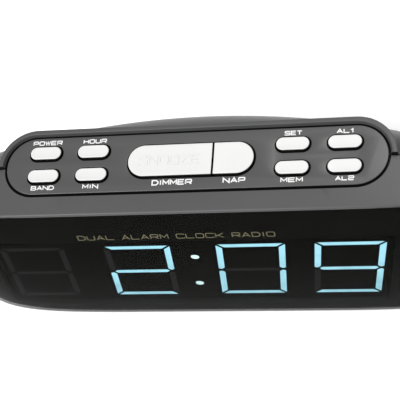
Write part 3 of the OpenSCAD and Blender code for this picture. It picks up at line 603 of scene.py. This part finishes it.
def key_bar():
    """Centre, length and width of the long bar that snooze and nap share."""
    low, high = edges("snooze_key")
    right = edges("nap_key")[1].x
    length, width = right - low.x - 2 * FLANGE, high.y - low.y - 2 * FLANGE
    return (right + low.x) / 2, (high.y + low.y) / 2, length, width


def key_outline(node):
    """Centre, length and width of a key's cap, without the hidden flange."""
    if node in LONG_KEYS:
        return key_bar()
    low, high = edges(node)
    length, width = high.x - low.x - 2 * FLANGE, high.y - low.y - 2 * FLANGE
    return (low.x + high.x) / 2, (low.y + high.y) / 2, length, width


def key_side(node, obj, inset_by=0.0):
    """Keeps one side of the long bar's split; other keys are left whole."""
    if node == "snooze_key":
        end = edges(node)[1].x - SPLIT_IN - inset_by
        return carve(obj, "INTERSECT", block(-FAR, -FAR, 0, end, FAR, OUT_HIGH))
    if node == "nap_key":
        start = edges(node)[0].x + SPLIT_IN + inset_by
        return carve(obj, "INTERSECT", block(start, -FAR, 0, FAR, FAR, OUT_HIGH))
    return obj


def cap_levels(top, width, dish_steps=5):
    """Levels of a key cap: straight sides, a round edge and a slightly dished top."""
    levels = [(top - CAP_T, 0.0)]
    for rise, run in quarter(5):
        levels.append((top - KEY_EDGE + KEY_EDGE * rise, -KEY_EDGE * run))
    inner = width / 2 - KEY_EDGE - KEY_MIDDLE
    for k in range(1, dish_steps + 1):
        t = k / dish_steps
        levels.append((top - KEY_DISH * (1 - (1 - t) ** 2), -KEY_EDGE - inner * t))
    return levels


def key_cap(node):
    """The light part of a key that is seen."""
    x, y, length, width = key_outline(node)
    width -= CAP_IN
    cap = stadium_stack(cap_levels(edges(node)[1].z, width), length, width, x, y, KEY_STEPS)
    cap = key_side(node, cap)
    return soften(cap, CAP_SOFT) if node in LONG_KEYS else cap


def key_skirt(node):
    """The dark part under a cap, with the flange under the panel and the stem on the switch."""
    x, y, length, width = key_outline(node)
    low, high = edges(node)
    flange_low = PANEL_TOP - PANEL_T - FLANGE_GAP - FLANGE_T
    sides = [(flange_low, -SKIRT_IN), (high.z - CAP_T, -SKIRT_IN)]
    skirt = stadium_stack(sides, length, width, x, y, KEY_STEPS)
    rims = [(flange_low, FLANGE), (flange_low + FLANGE_T, FLANGE)]
    flange = stadium_stack(rims, length, width, x, y, KEY_STEPS)
    skirt = key_side(node, carve(skirt, "UNION", flange), SKIRT_IN)
    at = Matrix.Translation((STEM_XS.get(node, x), y, 0))
    return carve(skirt, "UNION", bar(STEM_D / 2, low.z, flange_low + FLANGE_T / 2, at))


def panel_shape():
    """The plate with its key holes and the screw posts under it."""
    base = PANEL_TOP - PANEL_T
    levels = [(base, 0.0)]
    for rise, run in quarter(5):
        levels.append((PANEL_TOP - PANEL_EDGE + PANEL_EDGE * rise, -PANEL_EDGE * run))
    plate = panel_stack([(z, out - PLATE_IN) for z, out in levels], back=PLATE_BACK)
    hole = [(base - PAST, KEY_GAP)]
    for rise, run in quarter(3):
        hole.append((PANEL_TOP - HOLE_FILLET + HOLE_FILLET * rise, KEY_GAP + HOLE_FILLET * run))
    hole.append((PANEL_TOP + PAST, KEY_GAP + HOLE_FILLET))
    outlines = [key_outline(node) for node in key_nodes() if node not in LONG_KEYS] + [key_bar()]
    tools = [stadium_stack(hole, length, width, x, y, KEY_STEPS) for x, y, length, width in outlines]
    plate = carve(plate, "DIFFERENCE", *tools)
    y = key_bar()[1]
    ends = PANEL_LOW.z, base + PANEL_POST_BITE
    posts = [bar(PANEL_POST_R, *ends, Matrix.Translation((x, y, 0))) for x in PANEL_POST_XS]
    return carve(plate, "UNION", *posts)


# ---- generic legends, drawn as flat strokes on a unit grid: (points, corner radius, closed) ----
def line(*points):
    return points, 0, False


def curl(radius, *points):
    return points, radius, False


def hoop(radius, *points):
    return points, radius, True


GLYPHS = {
    "A": [line((0, 0), (0.5, 1), (1, 0)), line((0.2, 0.32), (0.8, 0.32))],
    "B": [hoop(0, (0, 0), (0.84, 0), (1, 0.16), (1, 0.38), (0.84, 0.52), (0, 0.52)),
          hoop(0, (0, 0.52), (0.8, 0.52), (0.94, 0.66), (0.94, 0.86), (0.8, 1), (0, 1))],
    "C": [curl(0.25, (1, 0.2), (1, 0), (0, 0), (0, 1), (1, 1), (1, 0.8))],
    "D": [hoop(0, (0, 0), (0.7, 0), (1, 0.3), (1, 0.7), (0.7, 1), (0, 1))],
    "E": [line((1, 0), (0, 0), (0, 1), (1, 1)), line((0, 0.5), (0.9, 0.5))],
    "H": [line((0, 0), (0, 1)), line((1, 0), (1, 1)), line((0, 0.5), (1, 0.5))],
    "I": [line((0.5, 0), (0.5, 1))],
    "K": [line((0, 0), (0, 1)), line((1, 1), (0.3, 0.5), (1, 0)), line((0, 0.5), (0.3, 0.5))],
    "L": [line((0, 1), (0, 0), (1, 0))],
    "M": [line((0, 0), (0, 1), (0.5, 0.3), (1, 1), (1, 0))],
    "N": [line((0, 0), (0, 1), (1, 0), (1, 1))],
    "O": [hoop(0.28, (0, 0), (1, 0), (1, 1), (0, 1))],
    "P": [curl(0.22, (0, 0), (0, 1), (1, 1), (1, 0.4), (0, 0.4))],
    "R": [curl(0.22, (0, 0), (0, 1), (1, 1), (1, 0.42), (0, 0.42)), line((0.6, 0.42), (1, 0))],
    "S": [curl(0.2, (1, 0.82), (1, 1), (0, 1), (0, 0.52), (1, 0.52), (1, 0), (0, 0), (0, 0.18))],
    "T": [line((0, 1), (1, 1)), line((0.5, 1), (0.5, 0))],
    "U": [curl(0.28, (0, 1), (0, 0), (1, 0), (1, 1))],
    "W": [line((0, 1), (0.25, 0), (0.5, 0.9), (0.75, 0), (1, 1))],
    "Z": [line((0, 1), (1, 1), (0, 0), (1, 0))],
    "1": [line((0, 0.7), (0.6, 1), (0.6, 0))],
    "2": [curl(0.2, (0, 0.8), (0, 1), (1, 1), (1, 0.5), (0, 0.5), (0, 0), (1, 0))],
    " ": [],
}
NARROW = {"I": 0.3, "1": 0.6, " ": 0.55}
LETTER_GAP = 0.3  # as a share of a letter's width
LAYER = 0.004  # strokes that cross end at different heights
LAYERS = 4
CORNER_STEPS = 4
MITRE_LIMIT = 0.45


def arc_corner(points, radius, closed):
    """Rounds the inner corners of a stroke."""
    n = len(points)
    out = []
    for i, p in enumerate(points):
        p = Vector(p)
        if not closed and i in (0, n - 1):
            out.append(p)
            continue
        a = Vector(points[i - 1]) - p
        b = Vector(points[(i + 1) % n]) - p
        cut = min(radius, a.length / 2.1, b.length / 2.1)
        start, end = p + a.normalized() * cut, p + b.normalized() * cut
        for k in range(CORNER_STEPS + 1):
            t = k / CORNER_STEPS
            out.append(start * (1 - t) ** 2 + p * 2 * t * (1 - t) + end * t ** 2)
    return out


def stroke_rings(path, half, closed, place, thick):
    """Rectangular rings along a flat stroke, mitred at its corners."""
    n = len(path)
    rings = []
    for i, p in enumerate(path):
        before = path[i - 1] if (closed or i > 0) else None
        after = path[(i + 1) % n] if (closed or i < n - 1) else None
        u = (p - before).normalized() if before is not None else (after - p).normalized()
        v = (after - p).normalized() if after is not None else u
        bisector = left_of(u) + left_of(v)
        bisector = bisector.normalized() if bisector.length > 1e-6 else left_of(u)
        side = bisector * (half / max(MITRE_LIMIT, bisector.dot(left_of(u))))
        a, b = p + side, p - side
        rings.append([place(a, 0), place(b, 0), place(b, thick), place(a, thick)])
    return rings


def legend(text, centre, height, width, stroke, thick, on_surface):
    """Strokes of a word, centred; on_surface maps a flat point and a height to space."""
    shares = [NARROW.get(c, 1.0) for c in text]
    unit = (width - stroke) / (sum(shares) + LETTER_GAP * (len(text) - 1))
    pen = centre[0] - width / 2 + stroke / 2
    tall = height - stroke
    strokes = []
    for c, share in zip(text, shares):
        w = unit * share
        for points, radius, closed in GLYPHS[c]:
            flat = [(pen + x * w, centre[1] - tall / 2 + y * tall) for x, y in points]
            path = arc_corner(flat, radius * tall, closed) if radius else [Vector(p) for p in flat]
            layer = thick + LAYER * (len(strokes) % LAYERS)
            rings = stroke_rings(path, stroke / 2, closed, on_surface, layer)
            strokes.append(skin("stroke", rings, loop=closed))
        pen += w + unit * LETTER_GAP
    return strokes


def joined(parts):
    """One object that holds the faces of several."""
    work = bmesh.new()
    for part in parts:
        work.from_mesh(part.data)
        bpy.data.objects.remove(part)
    bmesh.ops.recalc_face_normals(work, faces=work.faces)
    mesh = bpy.data.meshes.new("joined")
    work.to_mesh(mesh)
    work.free()
    return object_of(mesh)


# ---- materials ----
def new_material(name):
    material = bpy.data.materials.new(name)
    material.use_nodes = True
    return material, material.node_tree, material.node_tree.nodes["Principled BSDF"]


def set_inputs(shader, values):
    """Sets inputs by name, where the names have underscores for spaces."""
    for key, value in values.items():
        shader.inputs[key.replace("_", " ")].default_value = value


def object_place(tree):
    return tree.nodes.new("ShaderNodeTexCoord").outputs["Object"]


def noise(tree, size_mm, detail=3.0, rough=0.55, stretch=None):
    """Noise in object space whose features are about size_mm across."""
    source = object_place(tree)
    if stretch:
        mapping = tree.nodes.new("ShaderNodeMapping")
        mapping.inputs["Scale"].default_value = stretch
        tree.links.new(source, mapping.inputs["Vector"])
        source = mapping.outputs["Vector"]
    node = tree.nodes.new("ShaderNodeTexNoise")
    set_inputs(node, {"Scale": 1 / (size_mm * MM), "Detail": detail, "Roughness": rough})
    tree.links.new(source, node.inputs["Vector"])
    return node.outputs["Fac"]


def ramp(tree, source, dark, light, low=0.3, high=0.7):
    """Two colours, blended where source goes from low to high."""
    node = tree.nodes.new("ShaderNodeValToRGB")
    for element, position, colour in zip(node.color_ramp.elements, (low, high), (dark, light)):
        element.position = position
        element.color = (*colour, 1)
    tree.links.new(source, node.inputs["Fac"])
    return node.outputs["Color"]


def spread(tree, source, low, high):
    """Stretches the middle of a noise over the range from low to high."""
    node = tree.nodes.new("ShaderNodeMapRange")
    set_inputs(node, {"From_Min": 0.3, "From_Max": 0.7, "To_Min": low, "To_Max": high})
    tree.links.new(source, node.inputs["Value"])
    return node.outputs["Result"]


def bump(tree, shader, source, strength, depth_mm):
    node = tree.nodes.new("ShaderNodeBump")
    set_inputs(node, {"Strength": strength, "Distance": depth_mm * MM})
    tree.links.new(source, node.inputs["Height"])
    tree.links.new(node.outputs["Normal"], shader.inputs["Normal"])


def surface(name, colour, rough, vary, patch_mm, grain_mm, grain, depth_mm, metal=0.0, stretch=None, **extra):
    """Patchy colour and a fine grain in roughness and bump, all from object-space noise."""
    material, tree, shader = new_material(name)
    patches = noise(tree, patch_mm, stretch=stretch)
    dark = [c * (1 - vary) for c in colour]
    light = [min(1, c * (1 + vary)) for c in colour]
    tree.links.new(ramp(tree, patches, dark, light), shader.inputs["Base Color"])
    fine = noise(tree, grain_mm, 2.0, stretch=stretch)
    tree.links.new(spread(tree, fine, rough - 0.05, rough + 0.05), shader.inputs["Roughness"])
    bump(tree, shader, fine, grain, depth_mm)
    set_inputs(shader, {"Metallic": metal, **extra})
    return material


WAVE_PERIOD = 0.314  # of Blender's wave texture at scale 1


def banded(name, dark, light, rough, band_mm, direction, metal=0.0):
    """Even bands along one axis, for windings, laminations and ribbon cable."""
    material, tree, shader = new_material(name)
    wave = tree.nodes.new("ShaderNodeTexWave")
    wave.bands_direction = direction
    set_inputs(wave, {"Distortion": 0.6, "Scale": WAVE_PERIOD / (band_mm * MM), "Detail": 1.0})
    tree.links.new(object_place(tree), wave.inputs["Vector"])
    tree.links.new(ramp(tree, wave.outputs["Fac"], dark, light, 0.1, 0.9), shader.inputs["Base Color"])
    tree.links.new(spread(tree, noise(tree, 2.0), rough - 0.08, rough + 0.08), shader.inputs["Roughness"])
    bump(tree, shader, wave.outputs["Fac"], 0.6, 0.08)
    set_inputs(shader, {"Metallic": metal})
    return material


def lens_plastic(name, rough_low, rough_high, stretch=None, **extra):
    """Dark see-through plastic with a very slightly smeared face."""
    material, tree, shader = new_material(name)
    tint = ramp(tree, noise(tree, 30.0), (0.0012, 0.0012, 0.0008), (0.002, 0.002, 0.0013))
    tree.links.new(tint, shader.inputs["Base Color"])
    smear = noise(tree, 9.0, stretch=stretch)
    tree.links.new(spread(tree, smear, rough_low, rough_high), shader.inputs["Roughness"])
    set_inputs(shader, extra)
    return material


RISE_WEIGHT = 0.012  # how far up the glow's ramp each millimetre of height moves it
GLOW_DIM = 0.62  # of the dimmest patch


def glowing(name, colour, strength, base):
    """A diffuser lit from behind, a little uneven and brighter towards the top of the display; at a faint
    strength, as for the unlit segments, the glow is painted light and not a lamp.
    """
    material, tree, shader = new_material(name)
    patches = noise(tree, 5.0)
    split = tree.nodes.new("ShaderNodeSeparateXYZ")
    tree.links.new(object_place(tree), split.inputs["Vector"])
    rise = tree.nodes.new("ShaderNodeMath")
    rise.operation = "MULTIPLY_ADD"
    rise.inputs[1].default_value = RISE_WEIGHT / MM
    rise.inputs[2].default_value = -RISE_WEIGHT * DISPLAY_Z
    tree.links.new(split.outputs["Z"], rise.inputs[0])
    uneven = tree.nodes.new("ShaderNodeMath")
    uneven.operation = "ADD"
    tree.links.new(patches, uneven.inputs[0])
    tree.links.new(rise.outputs["Value"], uneven.inputs[1])
    glow = ramp(tree, uneven.outputs["Value"], [c * GLOW_DIM for c in colour], colour, 0.05, 0.7)
    tree.links.new(glow, shader.inputs["Emission Color"])
    tree.links.new(ramp(tree, patches, [c * 0.9 for c in base], base), shader.inputs["Base Color"])
    set_inputs(shader, {"Emission_Strength": strength, "Roughness": 0.45})
    bump(tree, shader, noise(tree, 0.5), 0.1, 0.02)
    return material


def tiled(tree, shader, offset, cell_mm, line_share, first, second, lines):
    """Colours the surface with rows of cells between lines, and returns where the lines are."""
    brick = tree.nodes.new("ShaderNodeTexBrick")
    brick.offset = offset
    set_inputs(brick, {"Scale": 1 / (cell_mm * MM), "Mortar_Size": line_share})
    set_inputs(brick, {"Color1": (*first, 1), "Color2": (*second, 1), "Mortar": (*lines, 1)})
    tree.links.new(object_place(tree), brick.inputs["Vector"])
    tree.links.new(brick.outputs["Color"], shader.inputs["Base Color"])
    return brick.outputs["Fac"]


def circuit_board(name):
    """Green solder mask over a grid of tracks."""
    material, tree, shader = new_material(name)
    greens = (0.012, 0.10, 0.03), (0.016, 0.12, 0.04), (0.05, 0.22, 0.07)
    tracks = tiled(tree, shader, 0.37, 9, 0.035, *greens)
    tree.links.new(spread(tree, noise(tree, 3.0), 0.3, 0.45), shader.inputs["Roughness"])
    bump(tree, shader, tracks, 0.3, 0.05)
    return material


def label_foil(name):
    """Satin foil with a plain ruled frame, and no lettering."""
    material, tree, shader = new_material(name)
    tiled(tree, shader, 0.0, 26, 0.012, (0.55, 0.55, 0.54), (0.6, 0.6, 0.59), (0.04, 0.04, 0.04))
    brushed = noise(tree, 1.5, stretch=(1, 8, 1))
    tree.links.new(spread(tree, brushed, 0.3, 0.42), shader.inputs["Roughness"])
    bump(tree, shader, noise(tree, 0.4, stretch=(1, 6, 1)), 0.15, 0.02)
    set_inputs(shader, {"Metallic": 0.7})
    return material


MATERIALS = {}


def keep(maker, name, *values, **extra):
    """Makes a material and files it under its name."""
    MATERIALS[name] = maker(name, *values, **extra)


# colour, roughness, colour variation, patch size, grain size, grain strength, grain depth, metal
keep(surface, "housing_plastic", (0.064, 0.064, 0.065), 0.42, 0.03, 30, 0.30, 0.35, 0.03, Specular_IOR_Level=0.3)
keep(surface, "panel_plastic", (0.057, 0.057, 0.058), 0.38, 0.03, 25, 0.30, 0.3, 0.03)
keep(lens_plastic, "smoked_lens", 0.05, 0.10, (1, 1, 3), IOR=1.068, Alpha=0.6)
keep(surface, "key_plastic", (0.565, 0.565, 0.56), 0.38, 0.012, 8, 0.5, 0.12, 0.02)
keep(circuit_board, "circuit_board")
keep(surface, "black_plastic", (0.006, 0.006, 0.006), 0.55, 0.12, 6, 0.4, 0.25, 0.03, Specular_IOR_Level=0.25)
keep(surface, "reflector_plastic", (0.005, 0.005, 0.005), 0.7, 0.1, 10, 0.5, 0.1, 0.02, Specular_IOR_Level=0.15)
keep(glowing, "lit_diffuser", (0.40, 0.84, 1.0), 3.3, (0.5, 0.62, 0.68))
keep(glowing, "colon_diffuser", (0.72, 0.98, 0.97), 3.6, (0.6, 0.7, 0.7))
# painted light: the unlit segments get a faint glow of their own, standing in for light they catch through the
# lens
keep(glowing, "unlit_diffuser", (0.30, 0.34, 0.38), 0.02, (0.034, 0.038, 0.04))
keep(surface, "dome_metal", (0.75, 0.55, 0.22), 0.3, 0.08, 2, 0.3, 0.2, 0.02, 1.0)
keep(surface, "zinc_steel", (0.60, 0.61, 0.63), 0.33, 0.1, 3, 0.3, 0.25, 0.02, 1.0, (1, 1, 5))
keep(surface, "black_steel", (0.05, 0.05, 0.052), 0.4, 0.15, 2, 0.3, 0.3, 0.02, 0.9)
keep(surface, "tin_can", (0.66, 0.67, 0.68), 0.28, 0.08, 5, 0.4, 0.2, 0.02, 1.0, (6, 1, 1))
keep(surface, "heat_sink_chip", (0.02, 0.02, 0.02), 0.5, 0.15, 2, 0.25, 0.4, 0.03)
keep(banded, "core_steel", (0.16, 0.17, 0.18), (0.42, 0.43, 0.45), 0.4, 0.5, "Y", 0.9)
keep(banded, "copper_wire", (0.30, 0.09, 0.03), (0.72, 0.30, 0.13), 0.3, 0.35, "Z", 0.9)
keep(surface, "ferrite", (0.045, 0.045, 0.05), 0.62, 0.2, 2, 0.3, 0.5, 0.05)
keep(surface, "cone_paper", (0.028, 0.028, 0.028), 0.85, 0.25, 2, 0.5, 0.6, 0.08)
keep(surface, "cell_steel", (0.5, 0.52, 0.55), 0.25, 0.06, 12, 0.5, 0.1, 0.02, 1.0)
keep(surface, "spring_steel", (0.7, 0.7, 0.68), 0.22, 0.06, 3, 0.3, 0.15, 0.02, 1.0, (1, 6, 1))
keep(surface, "foot_rubber", (0.02, 0.02, 0.02), 0.8, 0.2, 4, 0.5, 0.6, 0.06)
keep(label_foil, "label_foil")
keep(banded, "ribbon_plastic", (0.30, 0.31, 0.32), (0.52, 0.53, 0.54), 0.45, 1.3, "X")
keep(surface, "red_wire", (0.5, 0.03, 0.02), 0.35, 0.1, 4, 0.4, 0.15, 0.02)
keep(surface, "yellow_wire", (0.75, 0.5, 0.03), 0.35, 0.1, 4, 0.4, 0.15, 0.02)
keep(surface, "dark_wire", (0.05, 0.05, 0.055), 0.35, 0.1, 4, 0.4, 0.15, 0.02)

# not slots of the record: parts of pieces, and inks
keep(lens_plastic, "lens_inside", 0.5, 0.6, Specular_IOR_Level=0.0, Alpha=0.3)
keep(surface, "mask_paint", (0.022, 0.022, 0.021), 0.6, 0.1, 10, 0.5, 0.1, 0.02, Specular_IOR_Level=0.2)
keep(surface, "white_ink", (0.66, 0.66, 0.655), 0.5, 0.03, 2, 0.2, 0.2, 0.01)
keep(surface, "gold_ink", (0.11, 0.10, 0.04), 0.45, 0.08, 3, 0.2, 0.2, 0.01)


# ---- pieces ----
def finish(obj, name, body, slot, nodes=(), material=None, sharp=32):
    """Scales a piece to metres, smooths it, gives it its material and lets it ride."""
    obj.name = name
    obj.data.name = name
    obj.data.transform(Matrix.Scale(MM, 4))
    for face in obj.data.polygons:
        face.use_smooth = True
    obj.data.set_sharp_from_angle(angle=math.radians(sharp))
    obj.data.materials.clear()
    obj.data.materials.append(MATERIALS[material or slot])
    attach(obj, body)
    if nodes:
        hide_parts(*nodes)
    return obj


def paint(piece, chosen, material):
    """Gives the chosen faces of a finished piece another material."""
    piece.data.materials.append(MATERIALS[material])
    index = len(piece.data.materials) - 1
    for face in piece.data.polygons:
        if chosen(face.center / MM, face.normal):
            face.material_index = index


def groove_painted_shade(spot):
    """The walls and floor of the groove round the control panel, where black is painted in as shade."""
    slack = 0.1
    across = max(0, abs(spot.x) - (PANEL_L - PANEL_D) / 2)
    inside = math.hypot(across, spot.y - PANEL_Y) < PANEL_D / 2 + PANEL_GAP + slack
    return inside and BODY_TOP - PAINTED_SHADE_DEPTH < spot.z < PANEL_TOP - slack / 2


def gaps_painted_shade(spot, normal):
    """The groove round the panel, and the two faces where the housings meet, painted black as the shade in these
    gaps.
    """
    seam_painted_shade = abs(spot.y - SEAM_Y) < SEAM_GAP and abs(normal.y) > 0.9
    return groove_painted_shade(spot) or seam_painted_shade


def behind_lens(spot, normal):
    """The wall that the lens is stuck to."""
    return abs(spot.x) < LENS_HIGH.x and LENS_LOW.z < spot.z < LENS_HIGH.z and normal.y < -0.6


def plate_sides_painted_shade(spot, normal):
    """The upright faces of the panel, up to its rounded edges, painted black as shade in the groove round it."""
    return abs(normal.z) < 0.2 and spot.z < PANEL_TOP - 0.2


def facing_back(spot, normal):
    return normal.y > 0.5


def dress_cad_nodes():
    """Every CAD node gets the material of its slot in the record."""
    slots = {s["node"]: s["material_slot"] for s in frame["record"]["subparts"]}
    for name, obj in frame["nodes"].items():
        material = MATERIALS[slots[name]]
        if not obj.data.materials:
            obj.data.materials.append(material)
        for place in obj.material_slots:
            place.material = material


def make_pieces():
    """Housings, lens, panel and keys; returns the lens, which the legend is laid on."""
    front = finish(front_shell(), "front_shell", "radio_body", "housing_plastic", ["front_housing"])
    rear = finish(rear_shell(), "rear_shell", "radio_body", "housing_plastic", ["rear_housing"])
    # painted shade: the front half's groove and seam faces are painted black
    paint(front, gaps_painted_shade, "black_plastic")
    paint(front, behind_lens, "mask_paint")
    # painted shade: the rear half's groove and seam faces are painted black
    paint(rear, gaps_painted_shade, "black_plastic")
    lens = finish(lens_shape(), "lens", "radio_body", "smoked_lens", ["display_lens"])
    paint(lens, facing_back, "lens_inside")
    panel = finish(panel_shape(), "panel_plate", "radio_body", "panel_plastic", ["control_panel"])
    # painted shade: the panel's upright sides are painted black so the groove reads dark
    paint(panel, plate_sides_painted_shade, "black_plastic")
    for node in key_nodes():
        finish(key_cap(node), "cap_" + node, node, "key_plastic", [node])
        finish(key_skirt(node), "skirt_" + node, node, "black_plastic")
    return lens


# ---- legends in place ----
INK = 0.03
SINK = 0.01
LEGEND_OUT = 4.85
KEY_WORD_H, KEY_WORD_STROKE = 1.95, 0.42
BAR_WORD_H, BAR_WORD_STROKE = 2.35, 0.5
LETTER_SHARP = 60
KEY_WORDS = {  # word, width, and whether it stands behind (1) or in front (-1) of its key
    "power_key": ("POWER", 12.4, 1), "hour_key": ("HOUR", 9.8, 1), "band_key": ("BAND", 9.8, -1),
    "minute_key": ("MIN", 6.6, -1), "set_key": ("SET", 6.9, 1), "alarm1_key": ("AL1", 6.9, 1),
    "memory_key": ("MEM", 8.6, -1), "alarm2_key": ("AL2", 7.2, -1),
}


def panel_legends():
    """White function words beside the keys."""
    def on_panel(p, z):
        return (p.x, p.y, PANEL_TOP - SINK + z)

    strokes = []
    for node, (word, width, side) in KEY_WORDS.items():
        x, y = key_outline(node)[:2]
        centre = (x, y + side * LEGEND_OUT)
        strokes += legend(word, centre, KEY_WORD_H, width, KEY_WORD_STROKE, INK, on_panel)
    _, y, _, bar_width = key_bar()
    front = y - bar_width / 2
    split = edges("snooze_key")[1].x
    for word, centre, width in (("DIMMER", (-6.9, front - 2.45), 16.2), ("NAP", (split + 9, front - 2.4), 8.9)):
        strokes += legend(word, centre, BAR_WORD_H, width, BAR_WORD_STROKE, INK, on_panel)
    finish(joined(strokes), "panel_legends", "radio_body", "key_plastic", (), "white_ink", LETTER_SHARP)


def snooze_letters():
    """Letters that stand up a little from the snooze bar."""
    low, high = edges("snooze_key")

    def on_key(p, z):
        return (p.x, p.y, high.z - KEY_DISH - 2 * SINK + z)

    centre = (-8.6, (low.y + high.y) / 2)
    strokes = legend("SNOOZE", centre, height=4.4, width=25, stroke=0.75, thick=0.14, on_surface=on_key)
    finish(joined(strokes), "snooze_letters", "snooze_key", "key_plastic", sharp=LETTER_SHARP)


def lens_legend(lens):
    """A thin line of generic words that follows the lens face."""
    in_front = -FAR - 20

    def on_lens(p, z):
        _, spot, normal, _ = lens.ray_cast(Vector((p.x, in_front, p.y)) * MM, Vector((0, 1, 0)))
        return tuple((spot + normal * (z - SINK) * MM) / MM)

    centre = (-8, 75.2)
    words = "DUAL ALARM CLOCK RADIO"
    strokes = legend(words, centre, height=2.9, width=80, stroke=0.32, thick=INK, on_surface=on_lens)
    finish(joined(strokes), "lens_legend", "radio_body", "label_foil", (), "gold_ink", LETTER_SHARP)


# ---- stage, light and camera, in metres and watts ----
FLOOR_REACH = 3.0
FLOOR_WHITE = 0.98
FLOOR_GLOW = 0.1
WORLD_STRENGTH = 0.45
LIGHTS = {  # place, aim, size, power
    "key_light": ((-1.3, -1.5, 2.4), (0.02, 0, 0.08), 1.6, 105),
    "sheen_light": ((0.24, 0.30, 0.72), (0.04, 0, 0.08), 0.34, 2.6),
}
CAMERA_PLACE = (0.11414, -0.20108, 0.49971)
CAMERA_RIGHT = Vector((0.97117, 0.06758, -0.22860))
CAMERA_UP = Vector((0.02880, 0.91868, 0.39395))
CAMERA_BACK = Vector((0.23663, -0.38917, 0.89025))
CAMERA_LENS, CAMERA_SENSOR = 108.8, 36


def make_floor():
    corners = [(x * FLOOR_REACH, y * FLOOR_REACH, 0) for x, y in ((-1, -1), (1, -1), (1, 1), (-1, 1))]
    mesh = bpy.data.meshes.new("floor")
    mesh.from_pydata(corners, [], [(0, 1, 2, 3)])
    floor = object_of(mesh)
    material, _, shader = new_material("floor")
    set_inputs(shader, {"Base_Color": (FLOOR_WHITE, FLOOR_WHITE, FLOOR_WHITE, 1), "Roughness": 0.9})
    set_inputs(shader, {"Emission_Color": (1, 1, 1, 1), "Emission_Strength": FLOOR_GLOW})
    floor.data.materials.append(material)


def make_lights():
    world = bpy.data.worlds.new("world")
    world.use_nodes = True
    set_inputs(world.node_tree.nodes["Background"], {"Color": (1, 1, 1, 1), "Strength": WORLD_STRENGTH})
    bpy.context.scene.world = world
    for name, (place, aim, size, watts) in LIGHTS.items():
        light = bpy.data.lights.new(name, "AREA")
        light.energy = watts
        light.size = size
        obj = bpy.data.objects.new(name, light)
        obj.location = place
        obj.rotation_euler = (Vector(aim) - Vector(place)).to_track_quat("-Z", "Y").to_euler()
        bpy.context.scene.collection.objects.link(obj)


def make_camera():
    """Looks down on the front from above and a little to the right."""
    data = bpy.data.cameras.new("camera")
    data.sensor_width = CAMERA_SENSOR
    data.lens = CAMERA_LENS
    data.clip_start = 0.01
    camera = bpy.data.objects.new("camera", data)
    turn = Matrix((CAMERA_RIGHT, CAMERA_UP, CAMERA_BACK)).transposed().to_4x4()
    camera.matrix_world = Matrix.Translation(CAMERA_PLACE) @ turn
    bpy.context.scene.collection.objects.link(camera)
    bpy.context.scene.camera = camera


make_camera()
dress_cad_nodes()
lens = make_pieces()
panel_legends()
snooze_letters()
lens_legend(lens)
make_floor()
make_lights()
bpy.context.scene.view_settings.view_transform = "Standard"
